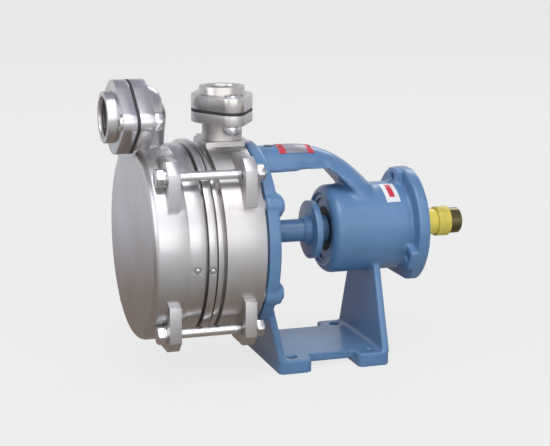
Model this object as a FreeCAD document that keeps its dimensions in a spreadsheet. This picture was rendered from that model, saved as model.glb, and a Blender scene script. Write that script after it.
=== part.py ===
import FreeCAD, Part
import math
import os
import re
import Sketcher

# Self-priming side-channel pump: a steel hydraulic end on four tie bolts, hung on a cast bearing bracket.
# Millimetres. X runs along the shaft, from the suction cover to the bare shaft end, and Z is up.
# The origin lies on the floor in the middle of the bracket's foot. Each body is drawn about the shaft's
# axis, so that its sketches give X stations and heights from that axis, and is then lifted to it.

SIZES = {
    # Main places
    "shaft_height": 137,
    "bracket_reach": 83.5,
    "running_gap": 0.3,
    "bore_gap": 0.05,
    # Suction cover
    "cover_width": 35,
    "cover_step": 1.5,
    "cover_edge": 8,
    "casing_wall": 8,
    "chamber_depth": 20,
    # Rings
    "inlet_ring_width": 16.5,
    "inlet_ring_step": 1,
    "centre_ring_width": 7.5,
    "centre_ring_step": 2.5,
    "outlet_ring_width": 5.5,
    "outlet_ring_step": 0.5,
    "ring_groove": 2.5,
    "casing_groove": 3.5,
    "land_depth": 7,
    "ring_plug_radius": 3.2,
    "ring_plug_depth": 5,
    "ring_plug_height": 0.8,
    "ring_plug_angle": 6.4,
    "seal_ring_inset": 9,
    "seal_ring_width": 3,
    "seal_ring_depth": 2,
    # Discharge casing
    "casing_width": 41,
    "casing_radius": 100,
    "spigot_gap": 3,
    "spigot_depth": 13,
    "front_wall": 6,
    "seal_tube_wall": 12,
    "seal_room": 5,
    "saddle_length": 46,
    "saddle_half_width": 24,
    "saddle_rise": 7,
    "saddle_step": 3.5,
    "discharge_shift": 3.1,
    # Lugs and tie bolts
    "tie_count": 4,
    "tie_bolt_radius": 5,
    "tie_hole_gap": 0.5,
    "tie_across_flats": 17,
    "tie_head_height": 7,
    "tie_nut_height": 8.4,
    "tie_thread_end": 3,
    "washer_rim": 0.5,
    "washer_thickness": 2.5,
    "lug_margin": 16.5,
    "lug_chamfer": 11,
    "lug_length": 47,
    "lug_root_depth": 10,
    "lug_root_angle": 17,
    "cover_lug_inset": 15.5,
    "casing_lug_inset": 20,
    "lug_thickness": 12,
    # Ports
    "suction_rise": 28.5,
    "suction_overhang": 1,
    "neck_radius": 23,
    "elbow_step": 2.5,
    "neck_wall": 4,
    "neck_inset": 0.5,
    "suction_thread": 20.95,
    "suction_flange_thickness": 15,
    "suction_waist": 37.5,
    "suction_ear_reach": 16,
    "suction_ear_radius": 12,
    "suction_companion_thickness": 14,
    "suction_collar_wall": 5.05,
    "suction_collar_length": 9.5,
    "passage_half_width": 15,
    "gasket_thickness": 3,
    "gasket_bore_gap": 1,
    "discharge_neck_radius": 20.6,
    "discharge_bore": 14,
    "discharge_thread": 16.6,
    "discharge_rise": 21,
    "discharge_flange_thickness": 10.5,
    "discharge_waist": 31.5,
    "discharge_ear_reach": 14.1,
    "discharge_ear_radius": 12.5,
    "discharge_companion_thickness": 14.5,
    "discharge_collar_wall": 6.8,
    "discharge_collar_length": 8,
    "port_bolt_radius": 5,
    "port_hole_gap": 0.5,
    "port_across_flats": 17,
    "port_head_height": 6.4,
    "port_nut_height": 8.4,
    "port_thread_end": 2.5,
    # Impellers
    "impeller_gap": 0.5,
    "stage_depth": 30,
    "blade_length": 31.5,
    "blade_thickness": 3,
    "blade_count": 24,
    "hub_wall": 7,
    "hub_overhang": 2,
    "channel_inset": 2,
    "channel_width": 12,
    "channel_angle": 34,
    "impeller_seat_step": 2,
    "impeller_key_width": 6,
    "impeller_key_depth": 3.5,
    "impeller_key_rise": 2.8,
    "impeller_key_length": 34,
    "impeller_key_inset": 3,
    "nut_across_flats": 24,
    "nut_height": 8,
    "nut_washer_rim": 2.5,
    "nut_washer_thickness": 2,
    "nut_thread_step": 2,
    "nut_thread_end": 3,
    # Shaft seal
    "seal_seat_step": 3,
    "seal_cover_step": 0.5,
    "seal_cover_thickness": 8,
    "seal_spigot_length": 4,
    "seat_ring_wall": 7,
    "seat_ring_gap": 1,
    "seat_ring_length": 6,
    "rotating_ring_wall": 9,
    "rotating_ring_length": 12,
    "seal_face_gap": 0.05,
    "bellows_wall": 7,
    "bellows_dip": 4,
    "seal_screw_count": 4,
    "seal_screw_radius": 3,
    "seal_screw_head_radius": 5,
    "seal_screw_head_height": 6,
    # Bracket flange, arm and legs
    "flange_thickness": 13,
    "flange_step": 1.5,
    "flange_bore": 46,
    "flange_edge": 2,
    "flange_bolt_inset": 9,
    "flange_bolt_angle": 30,
    "flange_bolt_radius": 5,
    "flange_bolt_depth": 14,
    "flange_boss_radius": 12,
    "flange_boss_height": 4.5,
    "casing_pad_radius": 9,
    "arm_radius": 25,
    "arm_step": 5.8,
    "arm_drop": 5.3,
    "arm_depth": 23.2,
    "arm_bend_reach": 27.5,
    "arm_shoulder_inset": 4.5,
    "arm_flare_inset": 33,
    "arm_flare_drop": 20.2,
    "arm_flare_radius": 28.5,
    "arm_root_inset": 60.5,
    "arm_root_rise": 0.2,
    "arm_root_radius": 34,
    "arm_plug_radius": 4.5,
    "arm_plug_depth": 8,
    "arm_plug_inset": 16.8,
    "cut_past": 1,
    "front_leg_height": 62,
    "front_leg_thickness": 8,
    "front_leg_lean": 15,
    "front_leg_proud": 2,
    "rear_leg_thickness": 8,
    "rear_leg_top": 22,
    "leg_side_gap": 1,
    # Foot
    "foot_length": 123,
    "foot_half_width": 66,
    "foot_height": 14.5,
    "front_pad_length": 36.5,
    "rear_pad_length": 35,
    "pad_corner": 6,
    "deck_lift": 5,
    "deck_inset": 18,
    "foot_hole_radius": 5.5,
    "foot_hole_inset": 18,
    "foot_hole_side_inset": 14,
    # Bearing housing and drive flange
    "housing_front": 1,
    "housing_wall": 11.3,
    "housing_lip": 3,
    "shoulder_length": 12.5,
    "drive_face": 106.8,
    "drive_flange_thickness": 12.5,
    "drive_flange_width": 15.3,
    "drive_boss_length": 14,
    "drive_boss_step": 0.6,
    "drive_boss_half_width": 12,
    "drive_hole_offset": 4.7,
    "drive_hole_radius": 4.5,
    "drive_hole_count": 3,
    "recess_step": 1.5,
    "front_bearing_inset": 19,
    "rear_bearing_inset": 28.8,
    "bearing_shoulder": 5,
    # Ball bearings
    "bearing_width": 19,
    "bearing_bore": 15,
    "bearing_height": 21,
    "ball_radius": 6.15,
    "ball_count": 8,
    "race_height": 5.1,
    "cage_half_thickness": 1.2,
    "cage_length": 15,
    "cage_pocket_gap": 0.2,
    "cage_pocket_reach": 3.6,
    # Bearing covers and lip seals
    "front_cover_thickness": 8,
    "front_seal_height": 9,
    "lip_seal_width": 5,
    "circlip_width": 1.6,
    "circlip_depth": 0.8,
    "circlip_height": 2.8,
    "circlip_margin": 0.4,
    "cover_circlip_width": 2,
    "cover_circlip_height": 4.5,
    "rear_cover_rim": 9,
    "rear_cover_thickness": 5.5,
    "rear_cover_spigot": 2,
    "rear_seal_height": 8,
    "rear_screw_count": 4,
    "rear_screw_radius": 2,
    "rear_screw_length": 10,
    "rear_screw_head_radius": 3.5,
    "rear_screw_head_height": 2,
    # Shaft
    "shaft_step_inset": 5,
    "shaft_collar_height": 3,
    "shaft_end_step": 1,
    "shaft_end_length": 60,
    "shaft_chamfer": 1.5,
    "centre_hole_radius": 4,
    "centre_hole_depth": 7,
    "coupling_key_width": 8,
    "coupling_key_depth": 4,
    "coupling_key_rise": 3,
    "coupling_key_length": 45,
    "coupling_key_start": 7,
    "protector_wall": 2.1,
    "protector_length": 14.6,
    "protector_start": 31.7,
    "protector_hump": 2,
    "slinger_height": 19,
    "slinger_thickness": 4.5,
    "slinger_hub_length": 9,
    "slinger_hub_wall": 5,
    "slinger_nose_wall": 1.5,
    "slinger_gap": 1,
    # Drain plug
    "drain_radius": 6.5,
    "drain_depth": 9,
    "drain_key_across_flats": 6,
    "drain_key_depth": 5,
}

# Places worked out from the sizes, in the order in which they build on each other.
PLACES = {
    "cover_radius": "casing_radius + cover_step",
    "inlet_ring_radius": "casing_radius - inlet_ring_step",
    "centre_ring_radius": "casing_radius + centre_ring_step",
    "outlet_ring_radius": "casing_radius - outlet_ring_step",
    "land_radius": "casing_radius - land_depth",
    "seal_ring_radius": "land_radius - seal_ring_inset",
    "spigot_radius": "casing_radius - spigot_depth",
    "chamber_radius": "casing_radius - chamber_depth",
    "stage_radius": "casing_radius - stage_depth",
    "impeller_radius": "stage_radius - impeller_gap",
    "blade_root": "impeller_radius - blade_length",
    "channel_inner": "blade_root + channel_inset",
    "channel_outer": "channel_inner + channel_width",
    "saddle_base": "casing_radius + saddle_step",
    "saddle_height": "casing_radius + saddle_rise",
    "suction_height": "casing_radius + suction_rise",
    "discharge_flange_height": "casing_radius + discharge_rise",
    "elbow_radius": "neck_radius + elbow_step",
    "suction_bore": "neck_radius - neck_wall",
    "suction_collar_radius": "suction_thread + suction_collar_wall",
    "suction_ear_offset": "suction_collar_radius + suction_ear_reach",
    "discharge_collar_radius": "discharge_thread + discharge_collar_wall",
    "discharge_ear_offset": "discharge_collar_radius + discharge_ear_reach",
    "washer_radius": "tie_across_flats / 2 + washer_rim",
    "tie_radius": "cover_radius + tie_across_flats / sqrt(3)",
    "lug_root_radius": "casing_radius - lug_root_depth",
    "seal_seat_radius": "bearing_bore - seal_seat_step",
    "impeller_seat": "seal_seat_radius - impeller_seat_step",
    "nut_thread_radius": "impeller_seat - nut_thread_step",
    "nut_washer_radius": "nut_across_flats / 2 + nut_washer_rim",
    "shaft_end_radius": "bearing_bore - shaft_end_step",
    "shaft_collar_radius": "bearing_bore + shaft_collar_height",
    "hub_radius": "impeller_seat + hub_wall",
    "impeller_key_bottom": "impeller_seat - impeller_key_depth",
    "impeller_key_top": "impeller_seat + impeller_key_rise",
    "coupling_key_bottom": "shaft_end_radius - coupling_key_depth",
    "coupling_key_top": "shaft_end_radius + coupling_key_rise",
    "protector_radius": "shaft_end_radius + protector_wall",
    "slinger_radius": "seal_seat_radius + slinger_height",
    "slinger_hub_radius": "seal_seat_radius + slinger_hub_wall",
    "slinger_nose_radius": "seal_seat_radius + slinger_nose_wall",
    "seat_ring_bore": "seal_seat_radius + seat_ring_gap",
    "seat_ring_radius": "seat_ring_bore + seat_ring_wall",
    "rotating_ring_radius": "seal_seat_radius + rotating_ring_wall",
    "bellows_radius": "seal_seat_radius + bellows_wall",
    "bellows_valley": "bellows_radius - bellows_dip",
    "seal_bore_radius": "rotating_ring_radius + seal_room",
    "seal_tube_radius": "seal_bore_radius + seal_tube_wall",
    "seal_cover_radius": "seal_tube_radius - seal_cover_step",
    "seal_screw_circle": "(seal_bore_radius + seal_tube_radius) / 2",
    "bearing_radius": "bearing_bore + bearing_height",
    "pitch_radius": "(bearing_bore + bearing_radius) / 2",
    "front_seal_radius": "bearing_bore + front_seal_height",
    "rear_seal_radius": "shaft_end_radius + rear_seal_height",
    "recess_radius": "bearing_radius + recess_step",
    "cover_circlip_radius": "recess_radius - cover_circlip_height",
    "middle_bore": "bearing_radius - bearing_shoulder",
    "rear_cover_radius": "bearing_radius + rear_cover_rim",
    "rear_screw_circle": "(bearing_radius + rear_cover_radius) / 2",
    "housing_radius": "bearing_radius + housing_wall",
    "housing_lip_radius": "recess_radius + housing_lip",
    "drive_flange_radius": "housing_radius + drive_flange_width",
    "drive_boss_radius": "drive_flange_radius - drive_boss_step",
    "drive_boss_shoulder": "sqrt(drive_boss_radius ^ 2 - drive_boss_half_width ^ 2)",
    "drive_hole_circle": "housing_radius + drive_hole_offset",
    "flange_radius": "casing_radius - flange_step",
    "flange_bolt_circle": "flange_radius - flange_bolt_inset",
    "arm_height": "flange_radius - arm_step",
    "arm_shoulder_height": "arm_height - arm_drop",
    "arm_shoulder_bottom": "arm_height - arm_depth",
    "arm_flare_height": "arm_height - arm_flare_drop",
    "arm_root_height": "housing_radius + arm_root_rise",
    "flange_front": "-bracket_reach",
    "flange_back": "flange_front + flange_thickness",
    "casing_back": "flange_front - spigot_gap",
    "casing_front": "casing_back - casing_width",
    "outlet_back": "casing_front - casing_groove",
    "outlet_front": "outlet_back - outlet_ring_width",
    "centre_back": "outlet_front - ring_groove",
    "centre_front": "centre_back - centre_ring_width",
    "inlet_back": "centre_front - ring_groove",
    "inlet_front": "inlet_back - inlet_ring_width",
    "cover_front": "inlet_front - cover_width",
    "stage_width": "casing_front - centre_back",
    "first_stage": "centre_front - stage_width",
    "impeller_width": "stage_width - 2 * impeller_gap",
    "suction_face": "cover_front - suction_overhang",
    "neck_place": "inlet_front - neck_radius - neck_inset",
    "neck_foot": "(chamber_radius + inlet_ring_radius) / 2",
    "cover_lug": "cover_front + cover_lug_inset",
    "casing_lug": "casing_front + casing_lug_inset",
    "casing_lug_back": "casing_lug + lug_thickness",
    "tie_offset": "tie_radius * sqrt(0.5)",
    "lug_side": "tie_offset + lug_margin",
    "lug_root": "lug_side - lug_length",
    "discharge_place": "(casing_front + casing_back) / 2 + discharge_shift",
    "discharge_face": "discharge_flange_height + discharge_flange_thickness",
    "discharge_companion": "discharge_face + gasket_thickness",
    "suction_cos": "(suction_waist - suction_ear_radius) / suction_ear_offset",
    "suction_sin": "sqrt(1 - suction_cos ^ 2)",
    "discharge_cos": "(discharge_waist - discharge_ear_radius) / discharge_ear_offset",
    "discharge_sin": "sqrt(1 - discharge_cos ^ 2)",
    "hub_bore": "hub_radius + running_gap",
    "seal_wall": "casing_front + front_wall",
    "hub_front": "first_stage - hub_overhang",
    "hub_joint": "(centre_front + centre_back) / 2",
    "hub_back": "seal_wall + hub_overhang",
    "seal_cover_front": "casing_back - seal_spigot_length",
    "seat_ring_front": "seal_cover_front",
    "rotating_ring_back": "seat_ring_front - seal_face_gap",
    "rotating_ring_front": "rotating_ring_back - rotating_ring_length",
    "housing_start": "-housing_front",
    "shoulder_end": "housing_start + shoulder_length",
    "shoulder_rise": "housing_radius - housing_lip_radius",
    "shoulder_round": "(shoulder_length ^ 2 + shoulder_rise ^ 2) / (2 * shoulder_rise)",
    "visible_shaft_end": "housing_start + shaft_step_inset",
    "front_bearing_place": "housing_start + front_bearing_inset",
    "rear_bearing_place": "drive_face - rear_bearing_inset",
    "front_bearing_end": "front_bearing_place + bearing_width",
    "rear_bearing_end": "rear_bearing_place + bearing_width",
    "front_cover_place": "front_bearing_place - front_cover_thickness",
    "drive_back": "drive_face - drive_flange_thickness",
    "rear_cover_place": "rear_bearing_end + rear_cover_spigot",
    "rear_cover_end": "rear_cover_place + rear_cover_thickness",
    "shaft_step": "rear_bearing_end + circlip_width + circlip_margin",
    "shaft_end": "drive_face + shaft_end_length",
    "nut_back": "hub_front - nut_washer_thickness",
    "nut_front": "nut_back - nut_height",
    "foot_front": "-foot_length / 2",
    "foot_back": "foot_length / 2",
    "foot_top": "foot_height - shaft_height",
    "leg_half_width": "foot_half_width - leg_side_gap",
    "deck_half_width": "foot_half_width - deck_inset",
    "foot_hole_half_length": "foot_length / 2 - foot_hole_inset",
    "foot_hole_half_width": "foot_half_width - foot_hole_side_inset",
    "arm_bend_start": "housing_start - arm_bend_reach",
    "arm_shoulder": "housing_start + arm_shoulder_inset",
    "arm_flare_start": "housing_start + arm_flare_inset",
    "arm_root": "housing_start + arm_root_inset",
    "arm_plug_place": "flange_back + arm_plug_inset",
    "slinger_back": "housing_start - slinger_gap",
    "slinger_front": "slinger_back - slinger_thickness",
    "slinger_nose": "slinger_front - slinger_hub_length",
    "race_radius": "ball_radius + bore_gap",
    "race_half_width": "sqrt(race_radius ^ 2 - race_height ^ 2)",
    "protector_place": "drive_face + protector_start",
    "key_place": "drive_face + coupling_key_start",
    "drain_place": "(casing_front + casing_back) / 2",
}

doc = FreeCAD.newDocument("self_priming_pump")

sheet = doc.addObject("Spreadsheet::Sheet", "sizes")
for row, (name, size) in enumerate(SIZES.items(), start=1):
    sheet.set(f"A{row}", name.replace("_", " "))
    sheet.set(f"B{row}", str(size))
    sheet.setAlias(f"B{row}", name)
doc.recompute()


def link(text):
    """An expression with each name in it pointed at the sheet or at the worked-out places."""
    def owner(found):
        word = found.group()
        if word in SIZES:
            return f"sizes.{word}"
        if word in PLACES:
            return f"places.{word}"
        return word
    return re.sub(r"[a-z][a-z_0-9]*", owner, text)


places = doc.addObject("App::VarSet", "places")
for name, text in PLACES.items():
    places.addProperty("App::PropertyFloat", name)
    places.setExpression(name, link(text))
doc.recompute()


def value(text):
    """The number that an expression gives now."""
    return float(places.evalExpression(link(text)))


def is_number(text):
    return re.fullmatch(r"-?[\d.]+", text) is not None


def origin_part(body, role):
    return next(part for part in body.Origin.OriginFeatures if part.Role == role)


def new_body(label, turned=None):
    """A body on the shaft's axis, turned about it by the angle that the expression gives."""
    body = doc.addObject("PartDesign::Body", label)
    body.Label = label
    angle = value(turned) if turned else 0
    about_shaft = FreeCAD.Rotation(FreeCAD.Vector(1, 0, 0), angle)
    body.Placement = FreeCAD.Placement(FreeCAD.Vector(0, 0, value("shaft_height")), about_shaft)
    body.setExpression("Placement.Base.z", link("shaft_height"))
    if turned:
        body.setExpression("Placement.Rotation.Angle", link(turned))
    return body


def new_sketch(body, plane, along="0", right="0", up="0"):
    """A sketch on an origin plane, moved along the plane's normal and shifted right and up in it."""
    sketch = body.newObject("Sketcher::SketchObject", body.Label + "_sketch")
    sketch.AttachmentSupport = (origin_part(body, plane), [""])
    sketch.MapMode = "FlatFace"
    outward = f"-({along})" if plane == "XZ_Plane" else along
    sketch.setExpression("AttachmentOffset.Base.x", link(right))
    sketch.setExpression("AttachmentOffset.Base.y", link(up))
    sketch.setExpression("AttachmentOffset.Base.z", link(outward))
    return sketch


def hold(sketch, piece, spot, across, up):
    """Ties one point of a drawn piece to its two coordinates; None leaves a coordinate free."""
    for kind, axis, text in (("DistanceX", -2, across), ("DistanceY", -1, up)):
        if text is None:
            continue
        if text == "0":
            sketch.addConstraint(Sketcher.Constraint("PointOnObject", piece, spot, axis))
            continue
        rule = sketch.addConstraint(Sketcher.Constraint(kind, -1, 1, piece, spot, value(text)))
        if not is_number(text):
            sketch.setExpression(f"Constraints[{rule}]", link(text))


def arc_between(start, end, centre, left):
    """The arc from start to end about centre, turning left or right, always drawn anticlockwise."""
    first, last = (start, end) if left else (end, start)
    circle = Part.Circle(centre, FreeCAD.Vector(0, 0, 1), (end - centre).Length)
    first_angle = math.atan2(first.y - centre.y, first.x - centre.x)
    last_angle = math.atan2(last.y - centre.y, last.x - centre.x)
    if last_angle <= first_angle:
        last_angle += 2 * math.pi
    return Part.ArcOfCircle(circle, first_angle, last_angle)


def draw(sketch, outline):
    """Draws a closed outline. A step is a corner (x, y), reached by a line from the step before, or by
    an arc where the step goes on with its centre and "left" or "right". The last one leads to the first."""
    offset = sketch.GeometryCount
    corners = [FreeCAD.Vector(value(step[0]), value(step[1]), 0) for step in outline]
    pieces = []
    ends = []
    for number, step in enumerate(outline):
        start, end = corners[number - 1], corners[number]
        if len(step) == 2:
            pieces.append(Part.LineSegment(start, end))
            ends.append((1, 2))
        else:
            centre = FreeCAD.Vector(value(step[2]), value(step[3]), 0)
            left = step[4] == "left"
            pieces.append(arc_between(start, end, centre, left))
            ends.append((1, 2) if left else (2, 1))
    sketch.addGeometry(pieces, False)
    for number in range(len(outline)):
        after = (number + 1) % len(outline)
        sketch.addConstraint(Sketcher.Constraint(
            "Coincident", offset + number, ends[number][1], offset + after, ends[after][0]))
    for number, step in enumerate(outline):
        hold(sketch, offset + number, ends[number][1], step[0], step[1])
        if len(step) == 5:
            chord = corners[number] - corners[number - 1]
            flat = abs(chord.x) >= abs(chord.y)
            hold(sketch, offset + number, 3, None if flat else step[2], step[3] if flat else None)


def draw_circle(sketch, radius, across="0", up="0"):
    centre = FreeCAD.Vector(value(across), value(up), 0)
    piece = sketch.addGeometry(Part.Circle(centre, FreeCAD.Vector(0, 0, 1), value(radius)), False)
    hold(sketch, piece, 3, across, up)
    rule = sketch.addConstraint(Sketcher.Constraint("Radius", piece, value(radius)))
    sketch.setExpression(f"Constraints[{rule}]", link(radius))


def revolved(body, outline, cut=False, axis="H_Axis", right="0", up="0"):
    """Turns an outline of (x, radius) steps about the shaft's axis, or a shifted axis of the sketch."""
    sketch = new_sketch(body, "XZ_Plane", right=right, up=up)
    draw(sketch, outline)
    kind = "PartDesign::Groove" if cut else "PartDesign::Revolution"
    feature = body.newObject(kind, body.Label + "_turned")
    feature.Profile = sketch
    feature.ReferenceAxis = (sketch, [axis])
    feature.Angle = 360
    body.Tip = feature
    return feature


def extruded(body, sketch, length, cut=False, backward=False):
    """Pads or pockets a sketch by a length, toward the positive end of the axis across its plane."""
    feature = body.newObject("PartDesign::Pocket" if cut else "PartDesign::Pad", body.Label + "_block")
    feature.Profile = sketch
    feature.Length = value(length)
    feature.setExpression("Length", link(length))
    plane_faces_back = sketch.AttachmentSupport[0][0].Role == "XZ_Plane"
    feature.Reversed = (plane_faces_back != cut) != backward
    body.Tip = feature
    return feature


def block(body, plane, outline, start, length, cut=False, right="0", up="0", backward=False):
    sketch = new_sketch(body, plane, start, right, up)
    draw(sketch, outline)
    return extruded(body, sketch, length, cut, backward)


def rods(body, plane, radius, centres, start, length, cut=False, backward=False):
    """Round bars, or round holes where cut, at each centre."""
    sketch = new_sketch(body, plane, start)
    for across, up in centres:
        draw_circle(sketch, radius, across, up)
    return extruded(body, sketch, length, cut, backward)


def around(body, features, count):
    """Repeats features about the shaft's axis."""
    pattern = body.newObject("PartDesign::PolarPattern", body.Label + "_pattern")
    pattern.Originals = features
    pattern.Axis = (origin_part(body, "X_Axis"), [""])
    pattern.Angle = 360
    pattern.Occurrences = int(value(count))
    pattern.setExpression("Occurrences", link(count))
    body.Tip = pattern
    return pattern


def ring(start, end, inner, outer):
    return [(start, inner), (end, inner), (end, outer), (start, outer)]


def rectangle(left, right, low, high):
    return [(left, low), (right, low), (right, high), (left, high)]


def hexagon(across_flats, across="0", up="0"):
    """Six corners about a centre, the first one straight up."""
    reach = f"{across_flats} / sqrt(3)"
    angles = range(90, 450, 60)
    return [(f"{across} + {reach} * cos({angle})", f"{up} + {reach} * sin({angle})") for angle in angles]


def slot(start, end, half_width):
    """A slot along X with round ends, about the line at height 0."""
    first = f"{start} + {half_width}"
    last = f"{end} - {half_width}"
    return [
        (first, f"-{half_width}", first, "0", "left"),
        (last, f"-{half_width}"),
        (last, half_width, last, "0", "left"),
        (first, half_width),
    ]


def oval_flange(side, place):
    """The two-bolt flange outline: a round waist and two ears joined by tangent lines."""
    waist, ear, offset = f"{side}_waist", f"{side}_ear_radius", f"{side}_ear_offset"
    ear_in, ear_up = f"{ear} * {side}_cos", f"{ear} * {side}_sin"
    waist_in, waist_up = f"{waist} * {side}_cos", f"{waist} * {side}_sin"

    def step(along, across, centre=None):
        corner = place(along, across)
        return corner + place(centre, "0") + ("left",) if centre else corner

    return [
        step(f"{offset} + {ear_in}", f"-{ear_up}"),
        step(f"{offset} + {ear_in}", ear_up, offset),
        step(waist_in, waist_up),
        step(f"-{waist_in}", waist_up, "0"),
        step(f"-{offset} - {ear_in}", ear_up),
        step(f"-{offset} - {ear_in}", f"-{ear_up}", f"-{offset}"),
        step(f"-{waist_in}", f"-{waist_up}"),
        step(waist_in, f"-{waist_up}", "0"),
    ]


def suction_spot(along, across):
    """Ears along Y, in a plane square to the shaft at the suction port's height."""
    return (along, f"suction_height + {across}")


def discharge_spot(along, across):
    """Ears along Y, in a level plane about the discharge port's axis."""
    return (f"discharge_place - ({across})", along)


SUCTION_BOLTS = [suction_spot("suction_ear_offset", "0"), suction_spot("-suction_ear_offset", "0")]
DISCHARGE_BOLTS = [discharge_spot("discharge_ear_offset", "0"), discharge_spot("-discharge_ear_offset", "0")]
FLANGE_BOLTS = [
    (f"{side}flange_bolt_circle * cos(flange_bolt_angle)",
     f"{level}flange_bolt_circle * sin(flange_bolt_angle)")
    for side in ("", "-") for level in ("", "-")
]
TIE_SPOT = [("tie_offset", "tie_offset")]


def side_channel(body, start, length):
    """The curved port through a stage wall, over the impeller's blade roots."""
    def corner(radius, angle):
        return (f"{radius} * cos({angle})", f"{radius} * sin({angle})")

    low, high = "90 - channel_angle", "90 + channel_angle"
    outline = [
        corner("channel_inner", low) + ("0", "0", "right"),
        corner("channel_outer", low),
        corner("channel_outer", high) + ("0", "0", "left"),
        corner("channel_inner", high),
    ]
    return block(body, "YZ_Plane", outline, start, length, cut=True)


def tie_lugs(body, start):
    """Four drilled ears for the tie bolts, one in each quarter."""
    def root(angle):
        return (f"lug_root_radius * cos({angle})", f"lug_root_radius * sin({angle})")

    outline = [
        root("45 + lug_root_angle"), root("45"), root("45 - lug_root_angle"),
        ("lug_side", "lug_root"),
        ("lug_side", "lug_side - lug_chamfer"),
        ("lug_side - lug_chamfer", "lug_side"),
        ("lug_root", "lug_side"),
    ]
    lug = block(body, "YZ_Plane", outline, start, "lug_thickness")
    hole = rods(body, "YZ_Plane", "tie_bolt_radius + tie_hole_gap", TIE_SPOT,
                start, "lug_thickness", cut=True)
    around(body, [lug, hole], "tie_count")


def seal_groove(body, back):
    """The groove for a square seal ring in a ring's back face."""
    revolved(body, ring(f"{back} - seal_ring_depth", back, "seal_ring_radius",
                        "seal_ring_radius + seal_ring_width"), cut=True)


# Suction end

def suction_cover():
    body = new_body("suction_cover")
    revolved(body, [
        ("cover_front", "0"),
        ("cover_front + casing_wall", "0"),
        ("cover_front + casing_wall", "chamber_radius"),
        ("inlet_front", "chamber_radius"),
        ("inlet_front", "cover_radius"),
        ("cover_front + cover_edge", "cover_radius"),
        ("cover_front", "cover_radius - cover_edge",
         "cover_front + cover_edge", "cover_radius - cover_edge", "left"),
    ])
    revolved(body, [
        ("0", "neck_foot"),
        ("neck_radius", "neck_foot"),
        ("neck_radius", "cover_radius"),
        ("elbow_radius", "suction_height"),
        ("0", "suction_height + elbow_radius", "0", "suction_height", "left"),
    ], axis="V_Axis", right="neck_place")
    block(body, "YZ_Plane", rectangle("-2 * elbow_radius", "2 * elbow_radius", "neck_foot",
                                      "suction_height + 2 * elbow_radius"),
          "suction_face", "2 * elbow_radius", cut=True, backward=True)
    rods(body, "YZ_Plane", "elbow_radius", [suction_spot("0", "0")],
         "suction_face", "neck_place - suction_face")
    block(body, "YZ_Plane", oval_flange("suction", suction_spot), "suction_face", "suction_flange_thickness")
    rods(body, "YZ_Plane", "port_bolt_radius + port_hole_gap", SUCTION_BOLTS,
         "suction_face", "suction_flange_thickness", cut=True)
    rods(body, "YZ_Plane", "suction_bore", [suction_spot("0", "0")],
         "suction_face", "neck_place - suction_face + casing_wall", cut=True)
    block(body, "XY_Plane", rectangle("cover_front + casing_wall", "inlet_front - casing_wall",
                                      "-passage_half_width", "passage_half_width"),
          "chamber_radius - casing_wall", "suction_height - chamber_radius + casing_wall", cut=True)
    tie_lugs(body, "cover_lug")
    seal_groove(body, "inlet_front")


def suction_gasket():
    body = new_body("suction_gasket")
    block(body, "YZ_Plane", oval_flange("suction", suction_spot),
          "suction_face - gasket_thickness", "gasket_thickness")
    rods(body, "YZ_Plane", "suction_thread + gasket_bore_gap", [suction_spot("0", "0")],
         "suction_face - gasket_thickness", "gasket_thickness", cut=True)
    rods(body, "YZ_Plane", "port_bolt_radius + port_hole_gap", SUCTION_BOLTS,
         "suction_face - gasket_thickness", "gasket_thickness", cut=True)


def suction_companion_flange():
    body = new_body("suction_companion_flange")
    back = "suction_face - gasket_thickness"
    front = f"{back} - suction_companion_thickness"
    block(body, "YZ_Plane", oval_flange("suction", suction_spot), front, "suction_companion_thickness")
    rods(body, "YZ_Plane", "suction_collar_radius", [suction_spot("0", "0")],
         f"{front} - suction_collar_length", "suction_collar_length")
    rods(body, "YZ_Plane", "suction_thread", [suction_spot("0", "0")],
         f"{front} - suction_collar_length", "suction_collar_length + suction_companion_thickness", cut=True)
    rods(body, "YZ_Plane", "port_bolt_radius + port_hole_gap", SUCTION_BOLTS,
         front, "suction_companion_thickness", cut=True)


def port_bolts(side, plane, spots, head_start, grip_start, grip, nut_start, outward):
    """Two hexagon bolts through an oval flange pair, and their nuts. The heads lie at the open end."""
    bolts = new_body(f"{side}_flange_bolts")
    for across, up in spots:
        block(bolts, plane, hexagon("port_across_flats", across, up), head_start, "port_head_height")
    shank = f"{grip} + port_nut_height + port_thread_end"
    shank_start = grip_start if outward else f"{grip_start} - port_nut_height - port_thread_end"
    rods(bolts, plane, "port_bolt_radius", spots, shank_start, shank)
    nuts = new_body(f"{side}_flange_nuts")
    for across, up in spots:
        block(nuts, plane, hexagon("port_across_flats", across, up), nut_start, "port_nut_height")
    rods(nuts, plane, "port_bolt_radius", spots, nut_start, "port_nut_height", cut=True)


def suction_fasteners():
    grip = "suction_companion_thickness + gasket_thickness + suction_flange_thickness"
    grip_start = "suction_face - gasket_thickness - suction_companion_thickness"
    port_bolts("suction", "YZ_Plane", SUCTION_BOLTS, f"{grip_start} - port_head_height", grip_start, grip,
               "suction_face + suction_flange_thickness", outward=True)


# Rings and stages

def stage_ring(label, front, rim_back, back, radius, wall_back, turned=None):
    """A ring of the stack: its rim, the land that seats on the next ring, and its wall where it has one."""
    body = new_body(label, turned)
    land = [(rim_back, radius), (rim_back, "land_radius"), (back, "land_radius"), (back, "stage_radius")]
    if wall_back:
        inside = [(wall_back, "stage_radius"), (wall_back, "hub_bore"), (front, "hub_bore")]
    else:
        inside = [(front, "stage_radius")]
    revolved(body, [(front, radius)] + land + inside)
    if wall_back:
        side_channel(body, front, f"{wall_back} - ({front})")
    seal_groove(body, back)
    return body


def plug_hole(body, front, back, radius):
    spot = [(f"({front} + {back}) / 2", "0")]
    rods(body, "XZ_Plane", "ring_plug_radius", spot, f"-{radius} - ring_plug_height",
         "ring_plug_depth + ring_plug_height", cut=True)


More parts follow.
